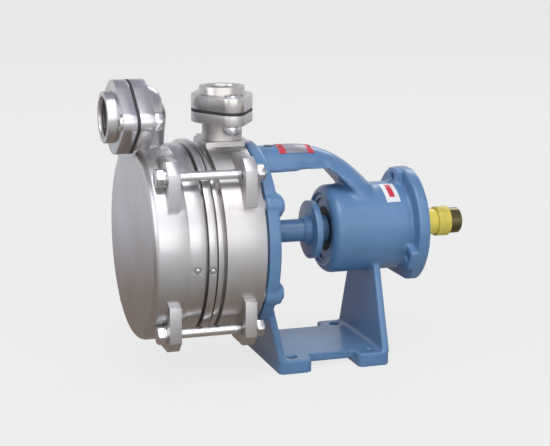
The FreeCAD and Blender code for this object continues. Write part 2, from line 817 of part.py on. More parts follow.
def stage_rings():
    inlet = stage_ring("inlet_ring", "inlet_front", "inlet_back", "centre_front", "inlet_ring_radius",
                       "first_stage", "ring_plug_angle")
    plug_hole(inlet, "inlet_front", "inlet_back", "inlet_ring_radius")
    centre = stage_ring("centre_ring", "centre_front", "centre_back", "outlet_front", "centre_ring_radius",
                        "centre_back", "ring_plug_angle")
    plug_hole(centre, "centre_front", "centre_back", "centre_ring_radius")
    stage_ring("outlet_ring", "outlet_front", "outlet_back", "casing_front", "outlet_ring_radius", None)


def ring_plugs():
    body = new_body("ring_plugs", "ring_plug_angle")
    for front, back, radius in (("inlet_front", "inlet_back", "inlet_ring_radius"),
                                ("centre_front", "centre_back", "centre_ring_radius")):
        rods(body, "XZ_Plane", "ring_plug_radius", [(f"({front} + {back}) / 2", "0")],
             f"-{radius} - ring_plug_height", "ring_plug_depth + ring_plug_height")


def casing_seal_rings():
    body = new_body("casing_seal_rings")
    for back in ("inlet_front", "centre_front", "outlet_front", "casing_front"):
        revolved(body, ring(f"{back} - seal_ring_depth", back, "seal_ring_radius",
                            "seal_ring_radius + seal_ring_width"))


def impeller(label, hub_start, hub_end, blade_start):
    """A star wheel: a hub disc with open radial blades around it."""
    body = new_body(label)
    blade_end = f"{blade_start} + impeller_width"
    revolved(body, [
        (hub_start, "impeller_seat"),
        (hub_end, "impeller_seat"),
        (hub_end, "hub_radius"),
        (blade_end, "hub_radius"),
        (blade_end, "blade_root"),
        (blade_start, "blade_root"),
        (blade_start, "hub_radius"),
        (hub_start, "hub_radius"),
    ])
    block(body, "YZ_Plane", rectangle("-impeller_key_width / 2", "impeller_key_width / 2",
                                      "impeller_key_bottom", "impeller_key_top"),
          hub_start, f"{hub_end} - ({hub_start})", cut=True)
    blade = block(body, "YZ_Plane", rectangle("-blade_thickness / 2", "blade_thickness / 2",
                                              "blade_root - blade_thickness", "impeller_radius"),
                  blade_start, "impeller_width")
    around(body, [blade], "blade_count")


def impellers():
    impeller("first_impeller", "hub_front", "hub_joint", "first_stage + impeller_gap")
    impeller("second_impeller", "hub_joint", "hub_back", "centre_back + impeller_gap")


def impeller_fasteners():
    key = new_body("impeller_key")
    block(key, "YZ_Plane", rectangle("-impeller_key_width / 2", "impeller_key_width / 2",
                                     "impeller_key_bottom", "impeller_key_top"),
          "hub_front + impeller_key_inset", "impeller_key_length")
    washer = new_body("impeller_washer")
    revolved(washer, ring("nut_back", "hub_front", "nut_thread_radius", "nut_washer_radius"))
    nut = new_body("impeller_nut")
    block(nut, "YZ_Plane", hexagon("nut_across_flats"), "nut_front", "nut_height")
    rods(nut, "YZ_Plane", "nut_thread_radius", [("0", "0")], "nut_front", "nut_height", cut=True)


# Discharge casing and its port

def discharge_casing():
    body = new_body("discharge_casing")
    revolved(body, [
        ("casing_front", "hub_bore"),
        ("seal_wall", "hub_bore"),
        ("seal_wall", "seal_bore_radius"),
        ("casing_back", "seal_bore_radius"),
        ("casing_back", "chamber_radius"),
        ("flange_front", "chamber_radius"),
        ("flange_front", "spigot_radius"),
        ("casing_back", "spigot_radius"),
        ("casing_back", "casing_radius"),
        ("casing_front", "casing_radius"),
    ])
    revolved(body, ring("seal_wall", "casing_back - casing_wall",
                        "seal_tube_radius", "chamber_radius"), cut=True)
    side_channel(body, "casing_front", "front_wall")
    tie_lugs(body, "casing_lug")
    rods(body, "YZ_Plane", "casing_pad_radius", FLANGE_BOLTS, "casing_back - casing_wall",
         "casing_wall + spigot_gap")
    block(body, "XZ_Plane", [
        ("casing_front", "neck_foot"),
        ("casing_back", "neck_foot"),
        ("casing_back", "saddle_base"),
        ("discharge_place + saddle_length / 2", "saddle_base"),
        ("discharge_place + saddle_length / 2", "saddle_height"),
        ("discharge_place - saddle_length / 2", "saddle_height"),
        ("discharge_place - saddle_length / 2", "saddle_base"),
        ("casing_front", "saddle_base"),
    ], "-saddle_half_width", "2 * saddle_half_width")
    rods(body, "XY_Plane", "discharge_neck_radius", [discharge_spot("0", "0")],
         "neck_foot", "discharge_flange_height - neck_foot")
    block(body, "XY_Plane", oval_flange("discharge", discharge_spot),
          "discharge_flange_height", "discharge_flange_thickness")
    rods(body, "XY_Plane", "port_bolt_radius + port_hole_gap", DISCHARGE_BOLTS,
         "discharge_flange_height", "discharge_flange_thickness", cut=True)
    rods(body, "XY_Plane", "discharge_bore", [discharge_spot("0", "0")],
         "chamber_radius - casing_wall", "discharge_face - chamber_radius + casing_wall", cut=True)
    rods(body, "YZ_Plane", "flange_bolt_radius", FLANGE_BOLTS,
         "flange_front - flange_bolt_depth", "flange_bolt_depth", cut=True)
    seal_screw = rods(body, "YZ_Plane", "seal_screw_radius", [("0", "seal_screw_circle")],
                      "casing_back - casing_wall", "casing_wall", cut=True)
    around(body, [seal_screw], "seal_screw_count")
    rods(body, "XY_Plane", "drain_radius", [("drain_place", "0")],
         "-casing_radius", "drain_depth", cut=True)


def drain_plug():
    body = new_body("drain_plug")
    rods(body, "XY_Plane", "drain_radius", [("drain_place", "0")], "-casing_radius", "drain_depth")
    block(body, "XY_Plane", hexagon("drain_key_across_flats", "drain_place"),
          "-casing_radius", "drain_key_depth", cut=True)


def discharge_gasket():
    body = new_body("discharge_gasket")
    block(body, "XY_Plane", oval_flange("discharge", discharge_spot), "discharge_face", "gasket_thickness")
    rods(body, "XY_Plane", "discharge_thread + gasket_bore_gap", [discharge_spot("0", "0")],
         "discharge_face", "gasket_thickness", cut=True)
    rods(body, "XY_Plane", "port_bolt_radius + port_hole_gap", DISCHARGE_BOLTS,
         "discharge_face", "gasket_thickness", cut=True)


def discharge_companion_flange():
    body = new_body("discharge_companion_flange")
    block(body, "XY_Plane", oval_flange("discharge", discharge_spot),
          "discharge_companion", "discharge_companion_thickness")
    rods(body, "XY_Plane", "discharge_collar_radius", [discharge_spot("0", "0")],
         "discharge_companion + discharge_companion_thickness", "discharge_collar_length")
    rods(body, "XY_Plane", "discharge_thread", [discharge_spot("0", "0")], "discharge_companion",
         "discharge_companion_thickness + discharge_collar_length", cut=True)
    rods(body, "XY_Plane", "port_bolt_radius + port_hole_gap", DISCHARGE_BOLTS,
         "discharge_companion", "discharge_companion_thickness", cut=True)


def discharge_fasteners():
    grip = "discharge_companion_thickness + gasket_thickness + discharge_flange_thickness"
    port_bolts("discharge", "XY_Plane", DISCHARGE_BOLTS,
               "discharge_companion + discharge_companion_thickness",
               "discharge_flange_height", grip, "discharge_flange_height - port_nut_height", outward=False)


# Tie bolts

def tie_fasteners():
    bolts = new_body("tie_bolts")
    head_back = "cover_lug - washer_thickness"
    shank_end = "casing_lug_back + washer_thickness + tie_nut_height + tie_thread_end"
    head = block(bolts, "YZ_Plane", hexagon("tie_across_flats", "tie_offset", "tie_offset"),
                 f"{head_back} - tie_head_height", "tie_head_height")
    shank = rods(bolts, "YZ_Plane", "tie_bolt_radius", TIE_SPOT, head_back, f"{shank_end} - ({head_back})")
    around(bolts, [head, shank], "tie_count")

    washers = new_body("tie_washers")
    rings = []
    for start in (head_back, "casing_lug_back"):
        rings.append(rods(washers, "YZ_Plane", "washer_radius", TIE_SPOT, start, "washer_thickness"))
        rings.append(rods(washers, "YZ_Plane", "tie_bolt_radius", TIE_SPOT,
                          start, "washer_thickness", cut=True))
    around(washers, rings, "tie_count")

    nuts = new_body("tie_nuts")
    nut_start = "casing_lug_back + washer_thickness"
    nut = block(nuts, "YZ_Plane", hexagon("tie_across_flats", "tie_offset", "tie_offset"),
                nut_start, "tie_nut_height")
    hole = rods(nuts, "YZ_Plane", "tie_bolt_radius", TIE_SPOT, nut_start, "tie_nut_height", cut=True)
    around(nuts, [nut, hole], "tie_count")


# Shaft seal

def shaft_seal():
    bellows = new_body("seal_bellows")
    middle = "(rotating_ring_front + hub_back) / 2"
    revolved(bellows, [
        ("hub_back", "seal_seat_radius"),
        ("rotating_ring_front", "seal_seat_radius"),
        ("rotating_ring_front", "bellows_radius"),
        (middle, "bellows_valley"),
        ("hub_back", "bellows_radius"),
    ])
    rotating = new_body("seal_rotating_ring")
    revolved(rotating, ring("rotating_ring_front", "rotating_ring_back",
                            "seal_seat_radius", "rotating_ring_radius"))
    seat = new_body("seal_stationary_ring")
    seat_back = "seat_ring_front + seat_ring_length"
    revolved(seat, ring("seat_ring_front", seat_back, "seat_ring_bore", "seat_ring_radius"))
    cover = new_body("seal_cover")
    cover_back = "casing_back + seal_cover_thickness"
    revolved(cover, [
        (seat_back, "seat_ring_bore"),
        (cover_back, "seat_ring_bore"),
        (cover_back, "seal_cover_radius"),
        ("casing_back", "seal_cover_radius"),
        ("casing_back", "seal_bore_radius"),
        ("seal_cover_front", "seal_bore_radius"),
        ("seal_cover_front", "seat_ring_radius"),
        (seat_back, "seat_ring_radius"),
    ])
    hole = rods(cover, "YZ_Plane", "seal_screw_radius", [("0", "seal_screw_circle")],
                "casing_back", "seal_cover_thickness", cut=True)
    around(cover, [hole], "seal_screw_count")
    screws = new_body("seal_cover_screws")
    head = rods(screws, "YZ_Plane", "seal_screw_head_radius", [("0", "seal_screw_circle")],
                cover_back, "seal_screw_head_height")
    shank = rods(screws, "YZ_Plane", "seal_screw_radius", [("0", "seal_screw_circle")],
                 "casing_back - casing_wall", "casing_wall + seal_cover_thickness")
    around(screws, [head, shank], "seal_screw_count")


# Bearing bracket

def arm_section(body, station, top, radius, bottom):
    """A round-topped section of the arm, square to the shaft: part of a circle cut off level."""
    centre = f"{top} - {radius}"
    half_width = f"sqrt(({radius}) ^ 2 - ({bottom} - ({centre})) ^ 2)"
    sketch = new_sketch(body, "YZ_Plane", station)
    draw(sketch, [
        (f"-{half_width}", bottom, "0", centre, "left"),
        (half_width, bottom),
    ])
    return sketch


def bracket_arm(body):
    """The arm: level over the lantern, then bending down and flaring into the bearing housing."""
    straight_bottom = "arm_height - arm_radius"
    sections = [
        arm_section(body, "arm_bend_start", "arm_height", "arm_radius", straight_bottom),
        arm_section(body, "arm_shoulder", "arm_shoulder_height", "arm_radius", "arm_shoulder_bottom"),
        arm_section(body, "arm_flare_start", "arm_flare_height", "arm_flare_radius",
                    "arm_flare_height - arm_flare_radius"),
        arm_section(body, "arm_root", "arm_root_height", "arm_root_radius",
                    "arm_root_height - arm_root_radius"),
    ]
    straight = arm_section(body, "arm_bend_start", "arm_height", "arm_radius", straight_bottom)
    extruded(body, straight, "arm_bend_start - flange_back + flange_thickness / 2", backward=True)
    loft = body.newObject("PartDesign::AdditiveLoft", "arm_loft")
    loft.Profile = sections[0]
    loft.Sections = sections[1:]
    body.Tip = loft


def bracket_foot(body):
    """Two pads with rounded corners on the floor and the raised deck between them."""
    floor = "-shaft_height"

    def pad_outline(left, right):
        low, high = "-foot_half_width", "foot_half_width"
        return [
            (f"{left} + pad_corner", low, f"{left} + pad_corner", f"{low} + pad_corner", "left"),
            (f"{right} - pad_corner", low),
            (right, f"{low} + pad_corner", f"{right} - pad_corner", f"{low} + pad_corner", "left"),
            (right, f"{high} - pad_corner"),
            (f"{right} - pad_corner", high, f"{right} - pad_corner", f"{high} - pad_corner", "left"),
            (f"{left} + pad_corner", high),
            (left, f"{high} - pad_corner", f"{left} + pad_corner", f"{high} - pad_corner", "left"),
            (left, f"{low} + pad_corner"),
        ]

    block(body, "XY_Plane", pad_outline("foot_front", "foot_front + front_pad_length"), floor, "foot_height")
    block(body, "XY_Plane", pad_outline("foot_back - rear_pad_length", "foot_back"), floor, "foot_height")
    block(body, "XY_Plane", rectangle("foot_front + pad_corner", "foot_back - pad_corner",
                                      "-deck_half_width", "deck_half_width"),
          f"{floor} + deck_lift", "foot_height - deck_lift")
    holes = [(f"{end}foot_hole_half_length", f"{side}foot_hole_half_width")
             for end in ("", "-") for side in ("", "-")]
    rods(body, "XY_Plane", "foot_hole_radius", holes, floor, "foot_height", cut=True)


def bracket_legs(body):
    """The front leg leans from the flange to the foot; the rear leg widens from the housing to it."""
    block(body, "XZ_Plane", [
        ("flange_back + front_leg_proud - front_leg_thickness", "-front_leg_height"),
        ("flange_back + front_leg_proud", "-front_leg_height"),
        ("flange_back + front_leg_proud + front_leg_lean", "foot_top"),
        ("foot_front", "foot_top"),
    ], "-leg_half_width", "2 * leg_half_width")
    block(body, "YZ_Plane", [
        ("-leg_half_width", "foot_top"),
        ("leg_half_width", "foot_top"),
        ("rear_leg_top", "0"),
        ("-rear_leg_top", "0"),
    ], "foot_back - rear_leg_thickness", "rear_leg_thickness")


def bearing_bracket():
    body = new_body("bearing_bracket")
    revolved(body, [
        ("flange_front", "flange_bore"),
        ("flange_back", "flange_bore"),
        ("flange_back", "flange_radius - flange_edge"),
        ("flange_back - flange_edge", "flange_radius",
         "flange_back - flange_edge", "flange_radius - flange_edge", "left"),
        ("flange_front", "flange_radius"),
    ])
    bracket_arm(body)
    revolved(body, [
        ("housing_start", "0"),
        ("drive_face", "0"),
        ("drive_face", "drive_flange_radius"),
        ("drive_back", "drive_flange_radius"),
        ("drive_back", "housing_radius"),
        ("shoulder_end", "housing_radius"),
        ("housing_start", "housing_lip_radius", "shoulder_end", "housing_radius - shoulder_round", "left"),
    ])
    bracket_foot(body)
    bracket_legs(body)
    drive_boss = block(body, "YZ_Plane", [
        ("-drive_boss_half_width", "middle_bore"),
        ("drive_boss_half_width", "middle_bore"),
        ("drive_boss_half_width", "drive_boss_shoulder"),
        ("-drive_boss_half_width", "drive_boss_shoulder", "0", "0", "left"),
    ], "drive_back - drive_boss_length", "drive_boss_length")
    drive_hole = rods(body, "YZ_Plane", "drive_hole_radius", [("0", "drive_hole_circle")],
                      "drive_back - drive_boss_length",
                      "drive_boss_length + drive_flange_thickness", cut=True)
    around(body, [drive_boss, drive_hole], "drive_hole_count")
    rods(body, "YZ_Plane", "flange_boss_radius", FLANGE_BOLTS, "flange_front",
         "flange_thickness + flange_boss_height")
    rods(body, "YZ_Plane", "flange_bolt_radius", FLANGE_BOLTS, "flange_front",
         "flange_thickness + flange_boss_height", cut=True)
    revolved(body, [
        ("housing_start - arm_radius", "0"),
        ("drive_face + cut_past", "0"),
        ("drive_face + cut_past", "rear_cover_radius"),
        ("rear_cover_place", "rear_cover_radius"),
        ("rear_cover_place", "bearing_radius"),
        ("rear_bearing_place", "bearing_radius"),
        ("rear_bearing_place", "middle_bore"),
        ("front_bearing_end", "middle_bore"),
        ("front_bearing_end", "bearing_radius"),
        ("front_cover_place", "bearing_radius"),
        ("front_cover_place", "recess_radius"),
        ("housing_start - arm_radius", "recess_radius"),
    ], cut=True)
    rods(body, "XY_Plane", "arm_plug_radius", [("arm_plug_place", "0")],
         "arm_height - arm_plug_depth", "arm_plug_depth + cut_past", cut=True)
    screw = rods(body, "YZ_Plane", "rear_screw_radius", [("0", "rear_screw_circle")],
                 "rear_cover_place - rear_screw_length", "rear_screw_length", cut=True)
    around(body, [screw], "rear_screw_count")


def bracket_fasteners():
    bolts = new_body("bracket_bolts")
    seat = "flange_back + flange_boss_height"
    for across, up in FLANGE_BOLTS:
        block(bolts, "YZ_Plane", hexagon("tie_across_flats", across, up), seat, "port_head_height")
    rods(bolts, "YZ_Plane", "flange_bolt_radius", FLANGE_BOLTS, "flange_front - flange_bolt_depth",
         "flange_bolt_depth + flange_thickness + flange_boss_height")
    plug = new_body("arm_plug")
    rods(plug, "XY_Plane", "arm_plug_radius", [("arm_plug_place", "0")],
         "arm_height - arm_plug_depth", "arm_plug_depth")


# Ball bearings and their covers

def ball_bearing(side, start):
    """A deep-groove ball bearing as four pieces: outer ring, inner ring, balls and cage."""
    end = f"{start} + bearing_width"
    middle = f"{start} + bearing_width / 2"
    left, right = f"{middle} - race_half_width", f"{middle} + race_half_width"
    outer = new_body(f"{side}_bearing_outer_ring")
    shoulder = "pitch_radius + race_height"
    revolved(outer, [
        (start, shoulder),
        (left, shoulder),
        (right, shoulder, middle, "pitch_radius", "right"),
        (end, shoulder),
        (end, "bearing_radius"),
        (start, "bearing_radius"),
    ])
    inner = new_body(f"{side}_bearing_inner_ring")
    shoulder = "pitch_radius - race_height"
    revolved(inner, [
        (start, "bearing_bore"),
        (end, "bearing_bore"),
        (end, shoulder),
        (right, shoulder),
        (left, shoulder, middle, "pitch_radius", "right"),
        (start, shoulder),
    ])
    balls = new_body(f"{side}_bearing_balls")
    ball = revolved(balls, [
        ("-ball_radius", "0"),
        ("ball_radius", "0", "0", "0", "right"),
    ], right=middle, up="pitch_radius")
    around(balls, [ball], "ball_count")
    cage = new_body(f"{side}_bearing_cage")
    revolved(cage, ring(f"{middle} - cage_length / 2", f"{middle} + cage_length / 2",
                        "pitch_radius - cage_half_thickness", "pitch_radius + cage_half_thickness"))
    pocket = rods(cage, "XY_Plane", "ball_radius + cage_pocket_gap", [(middle, "0")],
                  "pitch_radius - cage_pocket_reach", "2 * cage_pocket_reach", cut=True)
    around(cage, [pocket], "ball_count")


def bearing_covers():
    front = new_body("front_bearing_cover")
    revolved(front, ring("front_cover_place", "front_bearing_place", "front_seal_radius", "bearing_radius"))
    front_seal = new_body("front_lip_seal")
    revolved(front_seal, ring("front_cover_place", "front_cover_place + lip_seal_width",
                              "bearing_bore + bore_gap", "front_seal_radius"))
    circlip = new_body("front_cover_circlip")
    revolved(circlip, ring("front_cover_place - cover_circlip_width", "front_cover_place",
                           "cover_circlip_radius", "recess_radius"))
    rear = new_body("rear_bearing_cover")
    revolved(rear, [
        ("rear_bearing_end", "rear_seal_radius"),
        ("rear_cover_end", "rear_seal_radius"),
        ("rear_cover_end", "rear_cover_radius"),
        ("rear_cover_place", "rear_cover_radius"),
        ("rear_cover_place", "bearing_radius"),
        ("rear_bearing_end", "bearing_radius"),
    ])
    hole = rods(rear, "YZ_Plane", "rear_screw_radius", [("0", "rear_screw_circle")],
                "rear_cover_place", "rear_cover_thickness", cut=True)
    around(rear, [hole], "rear_screw_count")
    rear_seal = new_body("rear_lip_seal")
    revolved(rear_seal, ring("rear_cover_end - lip_seal_width", "rear_cover_end",
                             "shaft_end_radius + bore_gap", "rear_seal_radius"))
    screws = new_body("rear_cover_screws")
    head = rods(screws, "YZ_Plane", "rear_screw_head_radius", [("0", "rear_screw_circle")],
                "rear_cover_end", "rear_screw_head_height")
    shank = rods(screws, "YZ_Plane", "rear_screw_radius", [("0", "rear_screw_circle")],
                 "rear_cover_place - rear_screw_length", "rear_screw_length + rear_cover_thickness")
    around(screws, [head, shank], "rear_screw_count")


# Shaft and what turns with it

CIRCLIP_PLACES = ("front_bearing_place - circlip_width", "rear_bearing_end")


def shaft():
    body = new_body("shaft")
    revolved(body, [
        ("nut_front - nut_thread_end", "0"),
        ("shaft_end", "0"),
        ("shaft_end", "shaft_end_radius - shaft_chamfer"),
        ("shaft_end - shaft_chamfer", "shaft_end_radius"),
        ("shaft_step", "shaft_end_radius"),
        ("shaft_step", "bearing_bore"),
        ("rear_bearing_place", "bearing_bore"),
        ("rear_bearing_place", "shaft_collar_radius"),
        ("front_bearing_end", "shaft_collar_radius"),
        ("front_bearing_end", "bearing_bore"),
        ("visible_shaft_end", "bearing_bore"),
        ("visible_shaft_end", "seal_seat_radius"),
        ("hub_back", "seal_seat_radius"),
        ("hub_back", "impeller_seat"),
        ("hub_front", "impeller_seat"),
        ("hub_front", "nut_thread_radius"),
        ("nut_front - nut_thread_end", "nut_thread_radius"),
    ])
    for start in CIRCLIP_PLACES:
        revolved(body, ring(start, f"{start} + circlip_width", "bearing_bore - circlip_depth",
                            "bearing_bore + circlip_depth"), cut=True)
    block(body, "YZ_Plane", rectangle("-impeller_key_width / 2", "impeller_key_width / 2",
                                      "impeller_key_bottom", "impeller_key_top"),
          "hub_front + impeller_key_inset", "impeller_key_length", cut=True)
    block(body, "XZ_Plane", slot("key_place", "key_place + coupling_key_length", "coupling_key_width / 2"),
          "coupling_key_bottom", "coupling_key_top - coupling_key_bottom", cut=True)
    revolved(body, [
        ("shaft_end - centre_hole_depth", "0"),
        ("shaft_end", "0"),
        ("shaft_end", "centre_hole_radius"),
    ], cut=True)


def shaft_pieces():
    slinger = new_body("slinger_disc")
    revolved(slinger, [
        ("slinger_nose", "seal_seat_radius"),
        ("slinger_back", "seal_seat_radius"),
        ("slinger_back", "slinger_radius"),
        ("slinger_front", "slinger_radius"),
        ("slinger_front", "slinger_hub_radius"),
        ("slinger_nose", "slinger_nose_radius"),
    ])
    circlips = new_body("shaft_circlips")
    for start in CIRCLIP_PLACES:
        revolved(circlips, ring(start, f"{start} + circlip_width", "bearing_bore - circlip_depth",
                                "bearing_bore + circlip_height"))
    key = new_body("coupling_key")
    block(key, "XZ_Plane", slot("key_place", "key_place + coupling_key_length", "coupling_key_width / 2"),
          "coupling_key_bottom", "coupling_key_top - coupling_key_bottom")
    protector = new_body("shaft_protector")
    revolved(protector, ring("protector_place", "protector_place + protector_length",
                             "shaft_end_radius", "protector_radius"))
    block(protector, "YZ_Plane", rectangle("shaft_end_radius", "coupling_key_top + protector_hump",
                                           "-coupling_key_width / 2 - protector_hump",
                                           "coupling_key_width / 2 + protector_hump"),
          "protector_place", "protector_length")
    block(protector, "YZ_Plane", rectangle("coupling_key_bottom", "coupling_key_top",
                                           "-coupling_key_width / 2", "coupling_key_width / 2"),
          "protector_place", "protector_length", cut=True)


def check_and_write():
    """Stops on any failed object or a cut that took nothing away, then writes one file for each body."""
    bodies = [item for item in doc.Objects if item.TypeId == "PartDesign::Body"]
    for item in doc.Objects:
        if {"Invalid", "Error"} & set(item.State):
            raise RuntimeError(f"{item.Label} failed: {item.State}")
        if item.TypeId in ("PartDesign::Pocket", "PartDesign::Groove"):
            if item.Shape.Volume > item.BaseFeature.Shape.Volume - 0.1:
                raise RuntimeError(f"{item.Label} cuts nothing")
    for body in bodies:
        if body.Shape.isNull() or not body.Shape.isValid():
            raise RuntimeError(f"{body.Label} has no valid shape")
    os.makedirs("parts", exist_ok=True)
    for body in bodies:
        body.Shape.exportStep(f"parts/{body.Label}.step")


suction_cover()
suction_gasket()
suction_companion_flange()
suction_fasteners()
stage_rings()
ring_plugs()
casing_seal_rings()
impellers()
impeller_fasteners()
discharge_casing()
drain_plug()
discharge_gasket()
discharge_companion_flange()
discharge_fasteners()
tie_fasteners()
shaft_seal()
bearing_bracket()
bracket_fasteners()
ball_bearing("front", "front_bearing_place")
ball_bearing("rear", "rear_bearing_place")
bearing_covers()
shaft()
shaft_pieces()
doc.recompute()
check_and_write()
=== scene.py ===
import math

import bpy
from mathutils import Matrix, Vector


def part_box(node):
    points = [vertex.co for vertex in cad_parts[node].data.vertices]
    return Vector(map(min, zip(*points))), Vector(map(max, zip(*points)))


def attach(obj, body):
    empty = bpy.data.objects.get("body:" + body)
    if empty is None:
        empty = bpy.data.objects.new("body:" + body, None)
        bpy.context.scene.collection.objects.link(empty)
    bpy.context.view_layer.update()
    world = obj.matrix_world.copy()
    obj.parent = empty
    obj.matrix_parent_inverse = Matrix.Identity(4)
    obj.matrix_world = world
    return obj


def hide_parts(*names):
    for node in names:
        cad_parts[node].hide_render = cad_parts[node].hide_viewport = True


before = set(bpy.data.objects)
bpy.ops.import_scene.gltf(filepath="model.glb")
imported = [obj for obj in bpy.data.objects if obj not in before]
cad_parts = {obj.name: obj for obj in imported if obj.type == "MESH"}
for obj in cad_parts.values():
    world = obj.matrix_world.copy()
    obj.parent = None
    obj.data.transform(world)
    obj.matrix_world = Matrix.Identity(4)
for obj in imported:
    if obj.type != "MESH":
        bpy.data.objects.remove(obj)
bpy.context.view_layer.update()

bl_info = {
    "name": "Self-priming pump",
    "version": (1, 0, 0),
    "blender": (4, 5, 0),
    "location": "View3D > Sidebar > Pump",
    "description": "Dresses the steel end, the blue bearing bracket and the fasteners of a self-priming pump",
    "category": "Object",
}

STATOR = "stator"
ROTOR = "rotor"


# Settings

def length(name, description, default, least=0):
    return bpy.props.FloatProperty(
        name=name, description=description, default=default, min=least, unit="LENGTH", subtype="DISTANCE")


def paint(name, description, default):
    return bpy.props.FloatVectorProperty(
        name=name, description=description, default=default, size=3, min=0, max=1, subtype="COLOR")


class PumpSizes(bpy.types.PropertyGroup):
    cast_grain: length("Casting grid", "Grid that rounds the bracket's edges", 0.0016)
    edge_round: length("Machined edge", "Rounding of the turned and milled edges", 0.0006)
    bolt_across: length("Bolt hexagon", "Width across the flats of the bolt heads", 0.017)
    bolt_radius: length("Bolt radius", "Radius of the bolt shanks", 0.005)
    head_radius: length("Screw head radius", "Radius of the low round screw heads", 0.0082)
    head_height: length("Screw head height", "Height of the low round screw heads", 0.0022)
    socket_radius: length("Socket radius", "Radius of the recess in the screw heads", 0.0036)
    thread_pitch: length("Thread pitch", "Pitch of the bolts' thread", 0.0015)
    port_pitch: length("Port thread pitch", "Pitch of the pipe thread in the ports", 0.0023)
    plate_thickness: length("Nameplate thickness", "Thickness of the blank nameplate", 0.0007)
    plate_start: length("Nameplate start", "Place of the nameplate's front end", -0.0475, -1)
    plate_length: length("Nameplate length", "Length of the nameplate along the arm", 0.041)
    rivet_radius: length("Rivet radius", "Radius of the nameplate's rivets", 0.0015)
    rivet_inset: length("Rivet inset", "Distance of the rivets from the nameplate's ends", 0.0045)
    sticker_thickness: length("Sticker thickness", "Thickness of the blank sticker", 0.0003)
    sticker_start: length("Sticker start", "Place of the sticker's front edge", 0.0675)
    sticker_width: length("Sticker width", "Width of the sticker along the housing", 0.0155)
    arm_radius: length("Arm radius", "Radius of the arm's round top", 0.025)
    housing_radius: length("Housing radius", "Radius of the bearing housing", 0.0473)
    casing_radius: length("Casing radius", "Radius of the discharge casing", 0.1)
    slinger_thickness: length("Slinger thickness", "Thickness of the slinger disc's rim", 0.0045)
    plug_length: length("Plug length", "Length of the ring plugs", 0.0058)
    plug_height: length("Plug height", "How far the ring plugs stand out of their rings", 0.0008)
    cap_radius: length("Plug cap radius", "Radius of the bright middle of the ring plugs", 0.0024)
    shaft_height: length("Shaft height", "Height of the shaft above the floor", 0.137)
    suction_thread: length("Suction thread", "Radius of the thread in the suction port", 0.02095)
    discharge_thread: length("Discharge thread", "Radius of the thread in the discharge port", 0.0166)
    camera_place: bpy.props.FloatVectorProperty(
        name="Camera place", description="Where the camera stands", size=3,
        default=(-0.525187, -1.417108, 0.468988), unit="LENGTH", subtype="TRANSLATION")
    camera_turn: bpy.props.FloatVectorProperty(
        name="Camera turn", description="How the camera is turned", size=3,
        default=(math.radians(77.83), math.radians(-0.394), math.radians(-18.62)), subtype="EULER")
    camera_lens: bpy.props.FloatProperty(
        name="Camera lens", description="Focal length in millimetres", default=94.91)


class PumpColours(bpy.types.PropertyGroup):
    blue: paint("Blue paint", "Paint of the bracket, disc and shaft", (0.108, 0.235, 0.435))
    blue_worn: paint("Worn blue", "Paint where its edges have thinned", (0.2, 0.34, 0.56))
    steel: paint("Steel", "Turned stainless steel", (0.6, 0.6, 0.627))
    steel_warm: paint("Warm steel", "Slight straw tint in the steel", (0.525, 0.505, 0.485))
    zinc: paint("Zinc", "Bright zinc plate of the fasteners", (0.7, 0.7, 0.7))
    dark_steel: paint("Dark steel", "Oiled steel", (0.1, 0.1, 0.105))
    gasket: paint("Gasket", "Graphite gasket", (0.02, 0.02, 0.024))
    rubber: paint("Rubber", "Seals and bellows", (0.015, 0.015, 0.016))
    carbon: paint("Carbon", "Rotating seal ring", (0.03, 0.03, 0.032))
    ceramic: paint("Ceramic", "Stationary seal ring", (0.75, 0.73, 0.68))
    yellow: paint("Yellow plastic", "Shaft protector", (0.84, 0.7, 0.12))
    wax: paint("Wax", "Olive wax on the bare shaft end", (0.2, 0.18, 0.085))
    plate: paint("Nameplate", "Bare aluminium of the nameplate", (0.5, 0.5, 0.54))
    red: paint("Red", "Red print", (0.6, 0.035, 0.06))
    white: paint("White", "White film of the sticker", (0.82, 0.82, 0.84))
    floor: paint("Floor", "Floor and backdrop", (0.9, 0.9, 0.9))
    room: paint("Room", "Dim light of the room above the floor", (0.38, 0.385, 0.45))


def sizes():
    return bpy.context.scene.pump_sizes


def colours():
    return bpy.context.scene.pump_colours


# Selecting and shaping

def only(*pieces):
    """Selects these pieces and nothing else, and makes the first one active."""
    bpy.ops.object.select_all(action="DESELECT")
    for piece in pieces:
        piece.select_set(True)
    bpy.context.view_layer.objects.active = pieces[0]


def edit(piece):
    """Opens a piece in edit mode with everything selected."""
    only(piece)
    bpy.ops.object.mode_set(mode="EDIT")
    bpy.ops.mesh.select_all(action="SELECT")


def leave():
    bpy.ops.object.mode_set(mode="OBJECT")


def apply_modifier(piece, kind, **settings):
    """Adds a modifier with these settings and applies it."""
    only(piece)
    modifier = piece.modifiers.new(kind.lower(), kind)
    for name, value in settings.items():
        setattr(modifier, name, value)
    bpy.ops.object.modifier_apply(modifier=modifier.name)


def close_shell(piece, inward=False):
    """Merges doubled points and turns every face outwards, or inwards in a hole."""
    edit(piece)
    bpy.ops.mesh.remove_doubles(threshold=0.00001)
    bpy.ops.mesh.normals_make_consistent(inside=inward)
    leave()


def round_edges(piece, width, segments=2, angle=35):
    """Bevels the sharp edges."""
    apply_modifier(piece, "BEVEL", width=width, segments=segments, limit_method="ANGLE",
                   angle_limit=math.radians(angle))


def stretch(piece, pivot, factors, chosen):
    """Scales the chosen points of a piece about a pivot."""
    edit(piece)
    bpy.ops.mesh.select_mode(type="VERT")
    bpy.ops.mesh.select_all(action="DESELECT")
    leave()
    for vertex in piece.data.vertices:
        vertex.select = chosen(vertex.co)
    bpy.ops.object.mode_set(mode="EDIT")
    bpy.ops.transform.resize(value=factors, center_override=pivot)
    leave()


def smooth(piece, angle=35):
    only(piece)
    bpy.ops.object.shade_smooth_by_angle(angle=math.radians(angle))


